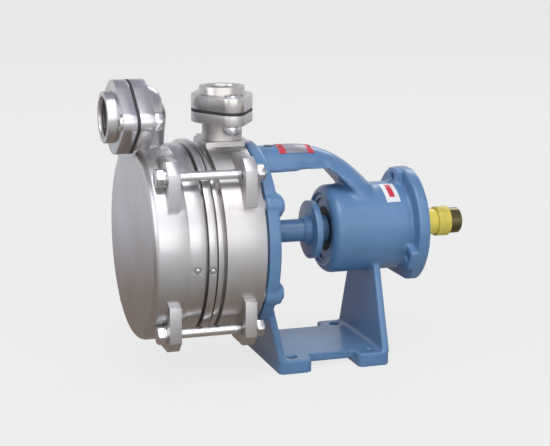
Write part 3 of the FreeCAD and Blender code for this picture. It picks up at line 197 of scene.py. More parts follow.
def settle(piece):
    """Moves the piece's place, turn and scale into its mesh."""
    only(piece)
    bpy.ops.object.transform_apply(location=True, rotation=True, scale=True)


def join(name, *pieces):
    only(*pieces)
    bpy.ops.object.join()
    pieces[0].name = name
    return pieces[0]


def copy_piece(piece, name):
    """A copy with its own mesh."""
    twin = bpy.data.objects.new(name, piece.data.copy())
    bpy.context.scene.collection.objects.link(twin)
    return twin


def hand_over(piece, slot, finish, *nodes, body=STATOR):
    """Gives a finished piece its material and its body, and the CAD nodes that it stands for. Its slot is not
    used.
    """
    settle(piece)
    piece.data.materials.clear()
    piece.data.materials.append(material_of(finish))
    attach(piece, body)
    if nodes:
        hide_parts(*nodes)


def cad_copy(node, name, flat=0.4):
    """A merged copy of a CAD node, with the triangles of its flat faces joined."""
    piece = copy_piece(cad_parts[node], name)
    edit(piece)
    bpy.ops.mesh.remove_doubles(threshold=0.000001)
    if flat:
        bpy.ops.mesh.dissolve_limited(angle_limit=math.radians(flat))
    leave()
    bpy.ops.mesh.customdata_custom_splitnormals_clear()
    return piece


def finish_copy(piece, node, slot, finish, width, body=STATOR):
    """Rounds the edges of a CAD node's copy, smooths its shading and hands it over."""
    round_edges(piece, width)
    smooth(piece)
    hand_over(piece, slot, finish, node, body=body)


def dress(node, slot, finish, width, body=STATOR):
    """Replaces a CAD node by its finished copy."""
    finish_copy(cad_copy(node, node + "_dressed"), node, slot, finish, width, body)


def first_point(name, spot):
    """A new piece that is one point, left in edit mode so that an outline can be drawn from it."""
    bpy.ops.mesh.primitive_plane_add(size=0.001)
    piece = bpy.context.object
    piece.name = name
    bpy.ops.object.mode_set(mode="EDIT")
    bpy.ops.mesh.merge(type="CENTER")
    bpy.ops.transform.translate(value=spot)
    return piece


def draw_on(move):
    bpy.ops.mesh.extrude_vertices_move(TRANSFORM_OT_translate={"value": move})


def turned(name, outline, steps, centre=(0, 0, 0), axis=(0, 0, 1)):
    """A turned piece: an outline of (along, radius) steps is drawn and spun about the axis."""
    centre, axis, out = Vector(centre), Vector(axis), Vector((1, 0, 0))
    spots = [centre + axis * along + out * radius for along, radius in outline]
    piece = first_point(name, spots[0])
    for before, after in zip(spots, spots[1:]):
        draw_on(after - before)
    bpy.ops.mesh.select_all(action="SELECT")
    bpy.ops.mesh.spin(steps=steps, angle=2 * math.pi, center=centre, axis=axis)
    leave()
    close_shell(piece)
    return piece


# Material parts

def add_node(tree, kind, **values):
    """Adds a shader node and sets the named properties and inputs on it."""
    node = tree.nodes.new("ShaderNode" + kind)
    for name, value in values.items():
        if name in node.bl_rna.properties:
            setattr(node, name, value)
        else:
            node.inputs[name.replace("_", " ")].default_value = value
    return node


def wire(tree, *links):
    """Links pairs of (node, output) and (node, input)."""
    for source, out, target, into in links:
        tree.links.new(source.outputs[out], target.inputs[into])


def maths(tree, operation, *values, clamp=False):
    """A node that calculates; its inputs get these values, and None stands for one that is linked."""
    node = add_node(tree, "Math", operation=operation, use_clamp=clamp)
    for socket, value in zip(node.inputs, values):
        if value is not None:
            socket.default_value = value
    return node


def within(tree, middle, half):
    """A node that gives 1 where its value is at most a half width from the middle, else 0."""
    return maths(tree, "COMPARE", None, middle, half)


def colour_mix(tree, second=None):
    """A mix of two colours, of which the second one may be given."""
    node = add_node(tree, "Mix", data_type="RGBA")
    if second is not None:
        node.inputs[7].default_value = second
    return node


def along_axes(tree, source, output):
    """Splits the place on a piece into its three parts."""
    split = add_node(tree, "SeparateXYZ")
    wire(tree, (source, output, split, 0))
    return split


def new_group(name, inputs, outputs):
    """A shader node group with named sockets; returns it with its input and output nodes."""
    group = bpy.data.node_groups.new(name, "ShaderNodeTree")
    for side, sockets in (("INPUT", inputs), ("OUTPUT", outputs)):
        for socket in sockets:
            kind = "Color" if socket.endswith("Color") else "Float"
            group.interface.new_socket(name=socket, in_out=side, socket_type="NodeSocket" + kind)
    return group, group.nodes.new("NodeGroupInput"), group.nodes.new("NodeGroupOutput")


def skin_group():
    """Fine grain and a slow waviness, for cast, blasted and painted skins."""
    group, start, end = new_group(
        "metal_skin", ("Grain Scale", "Wave Scale", "Wave Share"), ("Height",))
    place = add_node(group, "TexCoord")
    grain = add_node(group, "TexNoise", Detail=3, Roughness=0.6)
    wave = add_node(group, "TexNoise", Detail=2, Roughness=0.5)
    both = add_node(group, "Mix")
    wire(group,
         (place, "Object", grain, "Vector"), (place, "Object", wave, "Vector"),
         (start, "Grain Scale", grain, "Scale"), (start, "Wave Scale", wave, "Scale"),
         (start, "Wave Share", both, 0), (grain, "Fac", both, 2), (wave, "Fac", both, 3),
         (both, 0, end, "Height"))
    return group


def turning_group():
    """Tool marks that run round the shaft's axis, on rims and on faces."""
    group, start, end = new_group("turning_marks", ("Mark Scale",), ("Height",))
    split = along_axes(group, add_node(group, "TexCoord"), "Object")
    drop = maths(group, "SUBTRACT", None, sizes().shaft_height)
    flat = add_node(group, "CombineXYZ")
    radius = add_node(group, "VectorMath", operation="LENGTH")
    spot = add_node(group, "CombineXYZ")
    marks = add_node(group, "TexNoise", Detail=4, Roughness=0.65)
    wire(group,
         (split, "Z", drop, 0), (split, "Y", flat, "Y"), (drop, 0, flat, "Z"), (flat, 0, radius, 0),
         (split, "X", spot, "X"), (radius, "Value", spot, "Y"),
         (spot, 0, marks, "Vector"), (start, "Mark Scale", marks, "Scale"), (marks, "Fac", end, "Height"))
    return group


def wear_and_corner_shade_group():
    """A second colour on worn edges, and painted shade: a darker third colour in concave corners; both broken
    up by noise.
    """
    group, start, end = new_group(
        "edge_wear",
        ("Color", "Edge Color", "Corner Color", "Edge Share", "Corner Share", "Noise Scale"), ("Color",))
    shape = add_node(group, "NewGeometry")
    place = add_node(group, "TexCoord")
    noise = add_node(group, "TexNoise", Detail=4, Roughness=0.6)
    wire(group, (place, "Object", noise, "Vector"), (start, "Noise Scale", noise, "Scale"))
    before, output = start, "Color"
    # Low pointiness finds the concave corners, which take the Corner Color as painted shade.
    for kind, low, high in (("Edge", 0.515, 0.58), ("Corner", 0.49, 0.42)):
        found = add_node(group, "MapRange", From_Min=low, From_Max=high)
        broken = maths(group, "MULTIPLY")
        part = maths(group, "MULTIPLY", clamp=True)
        mixed = colour_mix(group)
        wire(group,
             (shape, "Pointiness", found, "Value"), (found, 0, broken, 0), (noise, "Fac", broken, 1),
             (broken, 0, part, 0), (start, kind + " Share", part, 1), (part, 0, mixed, 0),
             (before, output, mixed, 6), (start, kind + " Color", mixed, 7))
        before, output = mixed, 2
    wire(group, (before, output, end, "Color"))
    return group


def tint_group():
    """Two colours mixed by slow clouds, and a roughness that follows them."""
    group, start, end = new_group(
        "cloudy_tint",
        ("Color", "Second Color", "Cloud Scale", "Roughness", "Roughness Spread"), ("Color", "Roughness"))
    place = add_node(group, "TexCoord")
    cloud = add_node(group, "TexNoise", Detail=3, Roughness=0.55)
    share = add_node(group, "MapRange", From_Min=0.35, From_Max=0.65)
    tint = colour_mix(group)
    speck = add_node(group, "TexNoise", Scale=320, Detail=3)
    centred = maths(group, "SUBTRACT", None, 0.5)
    spread = maths(group, "MULTIPLY_ADD")
    wire(group,
         (place, "Object", cloud, "Vector"), (place, "Object", speck, "Vector"),
         (start, "Cloud Scale", cloud, "Scale"), (cloud, "Fac", share, "Value"),
         (share, 0, tint, 0), (start, "Color", tint, 6), (start, "Second Color", tint, 7),
         (speck, "Fac", centred, 0), (centred, 0, spread, 0), (start, "Roughness Spread", spread, 1),
         (start, "Roughness", spread, 2),
         (tint, 2, end, "Color"), (spread, 0, end, "Roughness"))
    return group


GROUPS = {}


def group_node(tree, name, **values):
    """Places one of the shared groups and sets its inputs."""
    makers = {"metal_skin": skin_group, "turning_marks": turning_group,
              "edge_wear": wear_and_corner_shade_group, "cloudy_tint": tint_group}
    if name not in GROUPS:
        GROUPS[name] = makers[name]()
    return add_node(tree, "Group", node_tree=GROUPS[name], **values)


def solid(colour, factor=1.0):
    return tuple(part * factor for part in colour) + (1,)


def new_material(name):
    """A material with its Principled shader wired up; returns it with its tree and that shader."""
    material = bpy.data.materials.new(name)
    material.use_nodes = True
    tree = material.node_tree
    return material, tree, tree.nodes["Principled BSDF"]


def bump(tree, shader, source, output, strength, distance):
    node = add_node(tree, "Bump", Strength=strength, Distance=distance)
    wire(tree, (source, output, node, "Height"), (node, "Normal", shader, "Normal"))


MATERIALS = {}


def material_of(name):
    """The named material, made the first time it is asked for."""
    if name not in MATERIALS:
        MATERIALS[name], tree, shader = new_material(name)
        maker, *values = FINISHES[name]
        maker(tree, shader, *values)
    return MATERIALS[name]


def blue_paint(tree, shader):
    tone = group_node(tree, "cloudy_tint", Color=solid(colours().blue),
                      Second_Color=solid(colours().blue, 0.88), Cloud_Scale=22,
                      Roughness=0.36, Roughness_Spread=0.12)
    # Worn edges take a lighter blue; concave corners take the blue at 0.45 as painted shade.
    wear_and_shade = group_node(tree, "edge_wear", Edge_Color=solid(colours().blue_worn),
                      Corner_Color=solid(colours().blue, 0.45), Edge_Share=0.9,
                      Corner_Share=0.8, Noise_Scale=140)
    skin = group_node(tree, "metal_skin", Grain_Scale=520, Wave_Scale=95, Wave_Share=0.7)
    wire(tree, (tone, "Color", wear_and_shade, "Color"), (wear_and_shade, "Color", shader, "Base Color"),
         (tone, "Roughness", shader, "Roughness"))
    bump(tree, shader, skin, "Height", 0.35, 0.0012)
    shader.inputs["Coat Weight"].default_value = 0.3
    shader.inputs["Coat Roughness"].default_value = 0.12


def bare_metal(tree, shader, first, second, roughness, spread, mark_strength, skin_share):
    """Bare metal with clouds of a second tint, tool marks and a fine skin."""
    colour, cloud = getattr(colours(), first), getattr(colours(), second)
    tone = group_node(tree, "cloudy_tint", Color=solid(colour), Second_Color=solid(cloud),
                      Cloud_Scale=14, Roughness=roughness, Roughness_Spread=spread)
    # Worn edges take a lighter tint; concave corners take the tint at 0.35 as painted shade.
    wear_and_shade = group_node(tree, "edge_wear", Edge_Color=solid(colour, 1.15), Corner_Color=solid(colour, 0.35),
                      Edge_Share=0.8, Corner_Share=0.7, Noise_Scale=260)
    marks = group_node(tree, "turning_marks", Mark_Scale=800)
    skin = group_node(tree, "metal_skin", Grain_Scale=700, Wave_Scale=200, Wave_Share=0.45)
    height = add_node(tree, "Mix")
    height.inputs[0].default_value = skin_share
    wire(tree, (tone, "Color", wear_and_shade, "Color"), (wear_and_shade, "Color", shader, "Base Color"),
         (tone, "Roughness", shader, "Roughness"),
         (marks, "Height", height, 2), (skin, "Height", height, 3))
    bump(tree, shader, height, 0, mark_strength, 0.0004)
    shader.inputs["Metallic"].default_value = 1.0


def shaft_steel(tree, shader):
    """Blue paint in the lantern, then ground steel, yellow wax up to the protector and olive wax."""
    paint_end, paint_fade = 0.01, 0.002
    wax_start, wax_fade = 0.15, 0.001
    band_middle, band_half = 0.131, 0.02
    tone = group_node(tree, "cloudy_tint", Color=solid(colours().steel),
                      Second_Color=solid(colours().steel_warm), Cloud_Scale=40,
                      Roughness=0.28, Roughness_Spread=0.12)
    coat = group_node(tree, "cloudy_tint", Color=solid(colours().blue),
                      Second_Color=solid(colours().blue, 0.8), Cloud_Scale=40,
                      Roughness=0.34, Roughness_Spread=0.12)
    marks = group_node(tree, "turning_marks", Mark_Scale=2200)
    split = along_axes(tree, add_node(tree, "TexCoord"), "Object")
    bare = add_node(tree, "MapRange", From_Min=paint_end, From_Max=paint_end + paint_fade)
    waxed = add_node(tree, "MapRange", From_Min=wax_start, From_Max=wax_start + wax_fade)
    banded = within(tree, band_middle, band_half)
    skin = colour_mix(tree, solid(colours().wax))
    band = colour_mix(tree, solid(colours().yellow))
    colour = colour_mix(tree)
    rough = add_node(tree, "Mix")
    metal = maths(tree, "SUBTRACT", clamp=True)
    wire(tree, (split, "X", bare, "Value"), (split, "X", waxed, "Value"), (split, "X", banded, 0),
         (waxed, 0, skin, 0), (tone, "Color", skin, 6),
         (banded, 0, band, 0), (skin, 2, band, 6),
         (bare, 0, colour, 0), (coat, "Color", colour, 6), (band, 2, colour, 7),
         (bare, 0, rough, 0), (coat, "Roughness", rough, 2), (tone, "Roughness", rough, 3),
         (colour, 2, shader, "Base Color"), (rough, 0, shader, "Roughness"),
         (bare, 0, metal, 0), (banded, 0, metal, 1), (metal, 0, shader, "Metallic"))
    bump(tree, shader, marks, "Height", 0.15, 0.0003)


def soft_skin(tree, shader, first, second, roughness, grain, strength):
    """Rubber, plastic or ceramic: a plain skin with clouds of a second tint and fine grain."""
    tone = group_node(tree, "cloudy_tint", Color=solid(getattr(colours(), first)),
                      Second_Color=solid(second), Cloud_Scale=60, Roughness=roughness, Roughness_Spread=0.15)
    skin = group_node(tree, "metal_skin", Grain_Scale=grain, Wave_Scale=200, Wave_Share=0.4)
    wire(tree, (tone, "Color", shader, "Base Color"), (tone, "Roughness", shader, "Roughness"))
    bump(tree, shader, skin, "Height", strength, 0.0004)


def sticker_film(tree, shader):
    """White film with a plain red band along its middle."""
    split = along_axes(tree, add_node(tree, "UVMap", uv_map="lie"), "UV")
    band = within(tree, 0.5, 0.2)
    reach = within(tree, 0.42, 0.36)
    both = maths(tree, "MULTIPLY")
    tone = group_node(tree, "cloudy_tint", Color=solid(colours().white),
                      Second_Color=solid(colours().white, 0.94), Cloud_Scale=120,
                      Roughness=0.3, Roughness_Spread=0.1)
    print_colour = colour_mix(tree, solid(colours().red))
    wire(tree, (split, "X", band, 0), (split, "Y", reach, 0),
         (band, 0, both, 0), (reach, 0, both, 1), (both, 0, print_colour, 0),
         (tone, "Color", print_colour, 6), (print_colour, 2, shader, "Base Color"),
         (tone, "Roughness", shader, "Roughness"))


def nameplate_metal(tree, shader):
    """Brushed aluminium with a plain red block at each end."""
    place = add_node(tree, "UVMap", uv_map="lie")
    split = along_axes(tree, place, "UV")
    middle = within(tree, 0.5, 0.3)
    inside = within(tree, 0.5, 0.475)
    outside = maths(tree, "SUBTRACT")
    drawn_out = add_node(tree, "Mapping", Scale=(3, 160, 1))
    brushed = add_node(tree, "TexNoise", Scale=1, Detail=3)
    tone = colour_mix(tree, solid(colours().plate, 0.8))
    tone.inputs[6].default_value = solid(colours().plate)
    print_colour = colour_mix(tree, solid(colours().red))
    metal = maths(tree, "SUBTRACT", 1)
    wire(tree, (split, "X", middle, 0), (split, "X", inside, 0),
         (inside, 0, outside, 0), (middle, 0, outside, 1),
         (place, "UV", drawn_out, "Vector"), (drawn_out, 0, brushed, "Vector"),
         (brushed, "Fac", tone, 0), (tone, 2, print_colour, 6), (outside, 0, print_colour, 0),
         (print_colour, 2, shader, "Base Color"), (outside, 0, metal, 1), (metal, 0, shader, "Metallic"))
    shader.inputs["Roughness"].default_value = 0.38
    bump(tree, shader, brushed, "Fac", 0.2, 0.0002)


# Maker and values of each material. Metals: two tints, roughness, its spread, strength of the marks and
# share of the skin. Soft ones: tint, second colour, roughness, scale and strength of the grain.
FINISHES = {
    "blue_paint": (blue_paint,),
    "turned_steel": (bare_metal, "steel", "steel_warm", 0.3, 0.08, 0.045, 0.3),
    "satin_steel": (bare_metal, "steel", "steel_warm", 0.42, 0.08, 0.045, 0.3),
    "cast_steel": (bare_metal, "steel", "steel_warm", 0.36, 0.12, 0.15, 0.85),
    "zinc_plate": (bare_metal, "zinc", "steel", 0.26, 0.1, 0.06, 0.6),
    "dark_steel": (bare_metal, "dark_steel", "dark_steel", 0.35, 0.2, 0.2, 0.5),
    "shaft_steel": (shaft_steel,),
    "gasket_sheet": (soft_skin, "gasket", (0.035, 0.035, 0.04), 0.62, 1500, 0.4),
    "black_rubber": (soft_skin, "rubber", (0.025, 0.025, 0.026), 0.55, 1200, 0.3),
    "yellow_plastic": (soft_skin, "yellow", (0.62, 0.5, 0.07), 0.38, 700, 0.15),
    "seal_carbon": (soft_skin, "carbon", (0.04, 0.04, 0.042), 0.35, 2000, 0.15),
    "seal_ceramic": (soft_skin, "ceramic", (0.7, 0.68, 0.62), 0.3, 1800, 0.1),
    "sticker_film": (sticker_film,),
    "nameplate_metal": (nameplate_metal,),
}


# Bearing bracket

class BracketMaker(bpy.types.Operator):
    """Casts the blue bearing bracket with rounded edges and soft inner corners"""
    bl_idname = "pump.bearing_bracket"
    bl_label = "Bearing bracket"

    # Trimmed places, in metres: the housing's front end, the backs of the drive flange's bosses, the flat
    # under that flange, and the underside of the arm
    housing_run = (-0.0015, 0.02)
    flange_depth = 0.0125
    boss_length = 0.02
    flat_drop = 0.0554
    arm_run = (-0.0285, 0.0045)
    arm_under = 0.2056
    arm_slab = (-0.0015, 0.0084)

    # Shares of their length or height that these places keep
    housing_share, boss_share, flat_share, arm_share = 2 / 3, 0.5, 0.02, 0.15

    # Soft corners of the casting: middle and half size of each zone, in metres
    zones = (
        ((0.045, 0.0, 0.018), (0.014, 0.052, 0.012)),
        ((-0.056, 0.0, 0.019), (0.012, 0.052, 0.01)),
        ((0.05, 0.0, 0.095), (0.012, 0.03, 0.014)),
        ((-0.068, 0.0, 0.212), (0.01, 0.03, 0.02)),
        ((0.04, 0.0, 0.172), (0.03, 0.045, 0.016)),
        ((-0.0285, 0.0, 0.206), (0.016, 0.03, 0.007)),
    )

    def trim(self, piece):
        """Squeezes the places where the casting is slimmer than its solid."""
        height, rim = sizes().shaft_height, sizes().housing_radius
        front, bearing = self.housing_run
        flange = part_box("bearing_bracket")[1].x - self.flange_depth
        boss = flange - self.boss_length
        flat = height - self.flat_drop
        start, end = self.arm_run
        low, high = (self.arm_under + step for step in self.arm_slab)

        def reach(spot):
            return math.hypot(spot.y, spot.z - height)

        stretch(piece, (bearing, 0, height), (self.housing_share, 1, 1),
                lambda spot: front < spot.x < bearing and reach(spot) < rim + 0.0004)
        stretch(piece, (flange, 0, height), (self.boss_share, 1, 1),
                lambda spot: boss < spot.x < flange and reach(spot) > rim - 0.002)
        stretch(piece, (flange, 0, flat), (1, 1, self.flat_share),
                lambda spot: spot.x > flange - 0.001 and spot.z < flat)
        stretch(piece, (0, 0, self.arm_under), (1, 1, self.arm_share),
                lambda spot: start < spot.x < end and low < spot.z < high)

    def execute(self, context):
        piece = cad_copy("bearing_bracket", "bracket_casting", flat=0)
        self.trim(piece)
        apply_modifier(piece, "REMESH", mode="VOXEL", voxel_size=sizes().cast_grain)
        apply_modifier(piece, "SMOOTH", factor=0.5, iterations=3)
        group = piece.vertex_groups.new(name="soft_corners")
        for vertex in piece.data.vertices:
            weight = 0.0
            for middle, half in self.zones:
                depth = max(abs(vertex.co[axis] - middle[axis]) / half[axis] for axis in range(3))
                weight = max(weight, min(1.0, 3 * (1 - depth)))
            if weight > 0:
                group.add([vertex.index], weight, "REPLACE")
        apply_modifier(piece, "SMOOTH", factor=0.5, iterations=24, vertex_group="soft_corners")
        apply_modifier(piece, "DECIMATE", ratio=0.62)
        smooth(piece, 60)
        hand_over(piece, "blue_paint", "blue_paint", "bearing_bracket")
        return {"FINISHED"}


# Steel end

class SteelEndMaker(bpy.types.Operator):
    """Finishes the suction cover, the stage rings and the discharge casing"""
    bl_idname = "pump.steel_end"
    bl_label = "Steel end"

    # Radii between which the elbow's bulge lies, rise of the saddle and its half width, in metres
    elbow = (0.0195, 0.03)
    saddle_rise = (0.0025, 0.0075)
    saddle_half_width = 0.0245

    # Growth of the elbow, and share of its height that the saddle keeps
    elbow_growth = (1.12, 1.06, 1.28)
    saddle_share = 0.3

    def execute(self, context):
        cover = cad_copy("suction_cover", "suction_cover_dressed")
        low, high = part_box("suction_gasket")
        level = (low.z + high.z) / 2
        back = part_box("suction_flange_nuts")[0].x
        inner, outer = self.elbow
        stretch(cover, (back, 0, level), self.elbow_growth, lambda spot: (
            spot.x > back - 0.0001 and spot.z > level - 0.0005
            and inner < math.hypot(spot.y, spot.z - level) < outer))
        finish_copy(cover, "suction_cover", "cast_steel", "turned_steel", sizes().edge_round)

        casing = cad_copy("discharge_casing", "discharge_casing_dressed")
        crown = sizes().shaft_height + sizes().casing_radius
        bottom, top = self.saddle_rise
        stretch(casing, (0, 0, crown), (1, 1, self.saddle_share), lambda spot: (
            bottom < spot.z - crown < top and abs(spot.y) < self.saddle_half_width))
        finish_copy(casing, "discharge_casing", "cast_steel", "satin_steel", sizes().edge_round)
        for ring in ("inlet_ring", "centre_ring", "outlet_ring"):
            dress(ring, "machined_steel", "turned_steel", 0.0005)
        return {"FINISHED"}


class PortMaker(bpy.types.Operator):
    """Finishes the oval port flanges with their pipe threads, and their gaskets"""
    bl_idname = "pump.port_flanges"
    bl_label = "Port flanges"

    def execute(self, context):
        pitch = sizes().port_pitch
        for side, radius, way in (("suction", sizes().suction_thread, "forward"),
                                  ("discharge", sizes().discharge_thread, "up")):
            node = f"{side}_companion_flange"
            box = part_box(node)
            piece = cad_copy(node, f"{side}_flange_dressed")
            round_edges(piece, 0.0008)
            helix = thread(f"{side}_thread", radius, pitch, reach_of(box, way) - pitch, inward=True, steps=48)
            helix.data.transform(seated(box, pitch / 2, way))
            piece = join(piece.name, piece, helix)
            smooth(piece)
            hand_over(piece, "cast_steel", "turned_steel", node)
            dress(f"{side}_gasket", "black_rubber", "gasket_sheet", 0.0004)
        return {"FINISHED"}


# Fasteners

# The axis that each way lies on, whether it points up that axis, and the turn from +Z to it
WAYS = {
    "forward": (0, True, Matrix.Rotation(math.pi / 2, 4, "Y")),
    "backward": (0, False, Matrix.Rotation(-math.pi / 2, 4, "Y")),
    "up": (2, True, Matrix.Identity(4)),
    "down": (2, False, Matrix.Rotation(math.pi, 4, "X")),
}


def reach_of(box, way):
    """The length of a box along a way."""
    axis = WAYS[way][0]
    return box[1][axis] - box[0][axis]


def seated(box, seat, way):
    """Turns a model from +Z to a way, and moves it onto the box's middle line, a seat in from its start."""
    axis, onward, turn = WAYS[way]
    place = (box[0] + box[1]) / 2
    place[axis] = box[0][axis] + seat if onward else box[1][axis] - seat
    return Matrix.Translation(place) @ turn


def hexagon_prism(name, height, chamfer_both):
    """A hexagon head or nut blank about the Z axis, its corners turned off at 30 degrees."""
    across = sizes().bolt_across
    corner = across / math.sqrt(3)
    bpy.ops.mesh.primitive_cylinder_add(vertices=6, radius=corner, depth=height, location=(0, 0, height / 2))
    prism = bpy.context.object
    prism.name = name
    drop = (corner - across / 2) * math.tan(math.radians(30)) * 1.6
    face, wide = across / 2 * 0.95, corner * 1.01
    bottom = [(drop, wide), (0, face)] if chamfer_both else [(0, wide)]
    outline = [(height, 0), (height, face), (height - drop, wide)] + bottom + [(0, 0)]
    barrel = turned(name + "_barrel", outline, 48)
    settle(prism)
    apply_modifier(prism, "BOOLEAN", operation="INTERSECT", object=barrel, solver="EXACT")
    bpy.data.objects.remove(barrel)
    round_edges(prism, 0.0002, segments=1, angle=25)
    return prism


def thread(name, radius, pitch, height, inward=False, steps=28):
    """A helical thread on the Z axis from height 0, a sheet without a core of its own."""
    depth, flank, crest, gap = pitch * 0.61, pitch * 0.42, pitch * 0.1, pitch * 0.06
    tip, root = (radius - depth, radius) if inward else (radius, radius - depth)
    strip = first_point(name, (root, 0, 0))
    for move in ((tip - root, 0, flank), (0, 0, crest), (root - tip, 0, flank), (0, 0, gap)):
        draw_on(move)
    leave()
    apply_modifier(strip, "SCREW", axis="Z", angle=2 * math.pi, screw_offset=pitch,
                   iterations=max(1, int(height / pitch)), steps=steps, render_steps=steps,
                   use_merge_vertices=True, merge_threshold=0.00001)
    close_shell(strip, inward)
    return strip


def threaded_bar(name, head, grip, threaded, steps):
    """A bar on the Z axis: first the outline of its head, then a shank with a real thread at its end."""
    radius, pitch = sizes().bolt_radius, sizes().thread_pitch
    core, start = radius - pitch * 0.55, grip - threaded
    run_out, chamfer = 0.0008, 0.0012
    outline = head + [(start, radius), (start + run_out, core), (grip - chamfer, core),
                      (grip, core - chamfer), (grip, 0)]
    bar = turned(name, outline, steps)
    helix = thread(name + "_thread", radius - 0.00005, pitch, threaded - 0.002)
    helix.data.transform(Matrix.Translation((0, 0, start + run_out / 2)))
    return join(name, bar, helix)


def bolt(name, head, grip, threaded):
    """A hexagon bolt on the Z axis, its head below height 0 and its shank above."""
    top = hexagon_prism(name, head, False)
    top.data.transform(Matrix.Rotation(math.pi, 4, "X"))
    bar = threaded_bar(name + "_bar", [(-head / 2, 0), (-head / 2, sizes().bolt_radius)], grip, threaded, 28)
    return join(name, top, bar)


def socket_screw(name, grip, threaded):
    """A screw on the Z axis with a low round head below height 0 and a socket in the head."""
    head, rim, socket, edge = sizes().head_height, sizes().head_radius, sizes().socket_radius, 0.0008
    return threaded_bar(name, [
        (0, 0), (0, socket), (-head, socket), (-head, rim - edge), (edge - head, rim), (0, rim),
        (0, sizes().bolt_radius)], grip, threaded, 36)


def nut(name, height):
    """A hexagon nut on the Z axis, drilled through."""
    bore, past, sink = sizes().bolt_radius, 0.001, 0.0007
    piece = hexagon_prism(name, height, True)
    drill = turned(name + "_drill", [
        (-past, 0), (-past, bore + past + sink), (sink, bore), (height - sink, bore),
        (height + past, bore + past + sink), (height + past, 0)], 28)
    apply_modifier(piece, "BOOLEAN", operation="DIFFERENCE", object=drill, solver="EXACT")
    bpy.data.objects.remove(drill)
    return piece


def spread_copies(model, name, matrices):
    """Copies a model to each place, joins the copies and removes the model."""
    copies = [copy_piece(model, f"{name}_{number}") for number in range(len(matrices))]
    for twin, matrix in zip(copies, matrices):
        twin.data.transform(matrix)
    bpy.data.objects.remove(model)
    return join(name, *copies)


def solid_boxes(node):
    """The two corners of each separate solid of a CAD node."""
    piece = cad_copy(node, "measured")
    edit(piece)
    bpy.ops.mesh.separate(type="LOOSE")
    leave()
    found = []
    for part in list(bpy.context.selected_objects):
        spots = [vertex.co for vertex in part.data.vertices]
        found.append([Vector([pick(spot[axis] for spot in spots) for axis in range(3)])
                      for pick in (min, max)])
        bpy.data.objects.remove(part)
    return sorted(found, key=lambda box: (round(box[0].y, 4), round(box[0].z, 4)))


class FastenerMaker(bpy.types.Operator):
    """Makes the bolts and nuts with chamfered hexagons and real threads"""
    bl_idname = "pump.fasteners"
    bl_label = "Bolts and nuts"

    # Node, kind, way from its head to its end, length of its thread in metres, slot and finish
    fasteners = (
        ("tie_bolts", "hexagon", "forward", 0.03, "zinc", "zinc_plate"),
        ("tie_nuts", "nut", "forward", 0, "zinc", "zinc_plate"),
        ("suction_flange_bolts", "socket", "forward", 0.018, "zinc", "zinc_plate"),
        ("suction_flange_nuts", "nut", "forward", 0, "zinc", "zinc_plate"),
        ("discharge_flange_bolts", "socket", "down", 0.018, "zinc", "zinc_plate"),
        ("discharge_flange_nuts", "nut", "up", 0, "zinc", "zinc_plate"),
        ("bracket_bolts", "socket", "backward", 0.014, "blue_paint", "blue_paint"),
    )

    # Height of the solid's head, above which each kind's shank begins
    seats = {"hexagon": 0.007, "socket": 0.0064, "nut": 0}

    def lay_plugs(self):
        """The ring plugs, flush with their rings, each with a bright round cap; the dark steel rim left round
        each cap is painted shade standing in for a shaded recess.
        """
        top, cap = sizes().plug_length / 2, sizes().cap_radius
        flush = top - sizes().plug_height
        plugs = []
        for number, (low, high) in enumerate(solid_boxes("ring_plugs")):
            middle, rim = (low + high) / 2, (high.x - low.x) / 2
            out = Vector((0, middle.y, middle.z - sizes().shaft_height)).normalized()
            plugs.append(turned(f"ring_plug_{number + 1}", [
                (-top, 0), (-top, rim), (flush, rim), (flush, 0)], 32, middle, out))
            dome = turned(f"ring_plug_cap_{number + 1}", [
                (0, 0), (0, cap), (top - 0.0005, cap), (top - 0.0001, cap * 0.6), (top, 0)], 24, middle, out)
            smooth(dome, 60)
            hand_over(dome, "zinc", "zinc_plate")
        # The dark steel plug bodies showing round the bright caps are painted shade of a recess.
        plug = join("ring_plugs_dressed", *plugs)
        smooth(plug)
        hand_over(plug, "zinc", "dark_steel", "ring_plugs")

    def execute(self, context):
        for node, kind, way, threaded, slot, finish in self.fasteners:
            boxes, name = solid_boxes(node), node.replace("_flange", "")
            seat, reach = self.seats[kind], reach_of(boxes[0], way)
            if kind == "hexagon":
                model = bolt(name, seat, reach - seat, threaded)
            elif kind == "socket":
                model = socket_screw(name, reach - seat, threaded)
            else:
                model = nut(name, reach)
            piece = spread_copies(model, name + "_dressed", [seated(box, seat, way) for box in boxes])
            smooth(piece, 30)
            hand_over(piece, slot, finish, node)
        self.lay_plugs()
        dress("tie_washers", "zinc", "zinc_plate", 0.0002)
        return {"FINISHED"}


# Shaft and its pieces

class ShaftMaker(bpy.types.Operator):
    """Finishes the shaft, the slinger disc, the key and the yellow protector"""
    bl_idname = "pump.shaft_pieces"
    bl_label = "Shaft pieces"

    slinger_growth = 1.45

    def execute(self, context):
        dress("shaft", "shaft_steel", "shaft_steel", 0.0004, ROTOR)
        disc = cad_copy("slinger_disc", "slinger_dressed")
        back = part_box("slinger_disc")[1].x
        front = back - sizes().slinger_thickness
        stretch(disc, (back, 0, 0), (self.slinger_growth, 1, 1), lambda spot: abs(spot.x - front) < 0.0002)
        finish_copy(disc, "slinger_disc", "blue_paint", "blue_paint", 0.0008, ROTOR)
        dress("coupling_key", "shaft_steel", "dark_steel", 0.0003, ROTOR)
        cap = cad_copy("shaft_protector", "protector_dressed")
        finish_copy(cap, "shaft_protector", "yellow_plastic", "yellow_plastic", 0.0006, ROTOR)
        return {"FINISHED"}


# Inner pieces keep their CAD shape

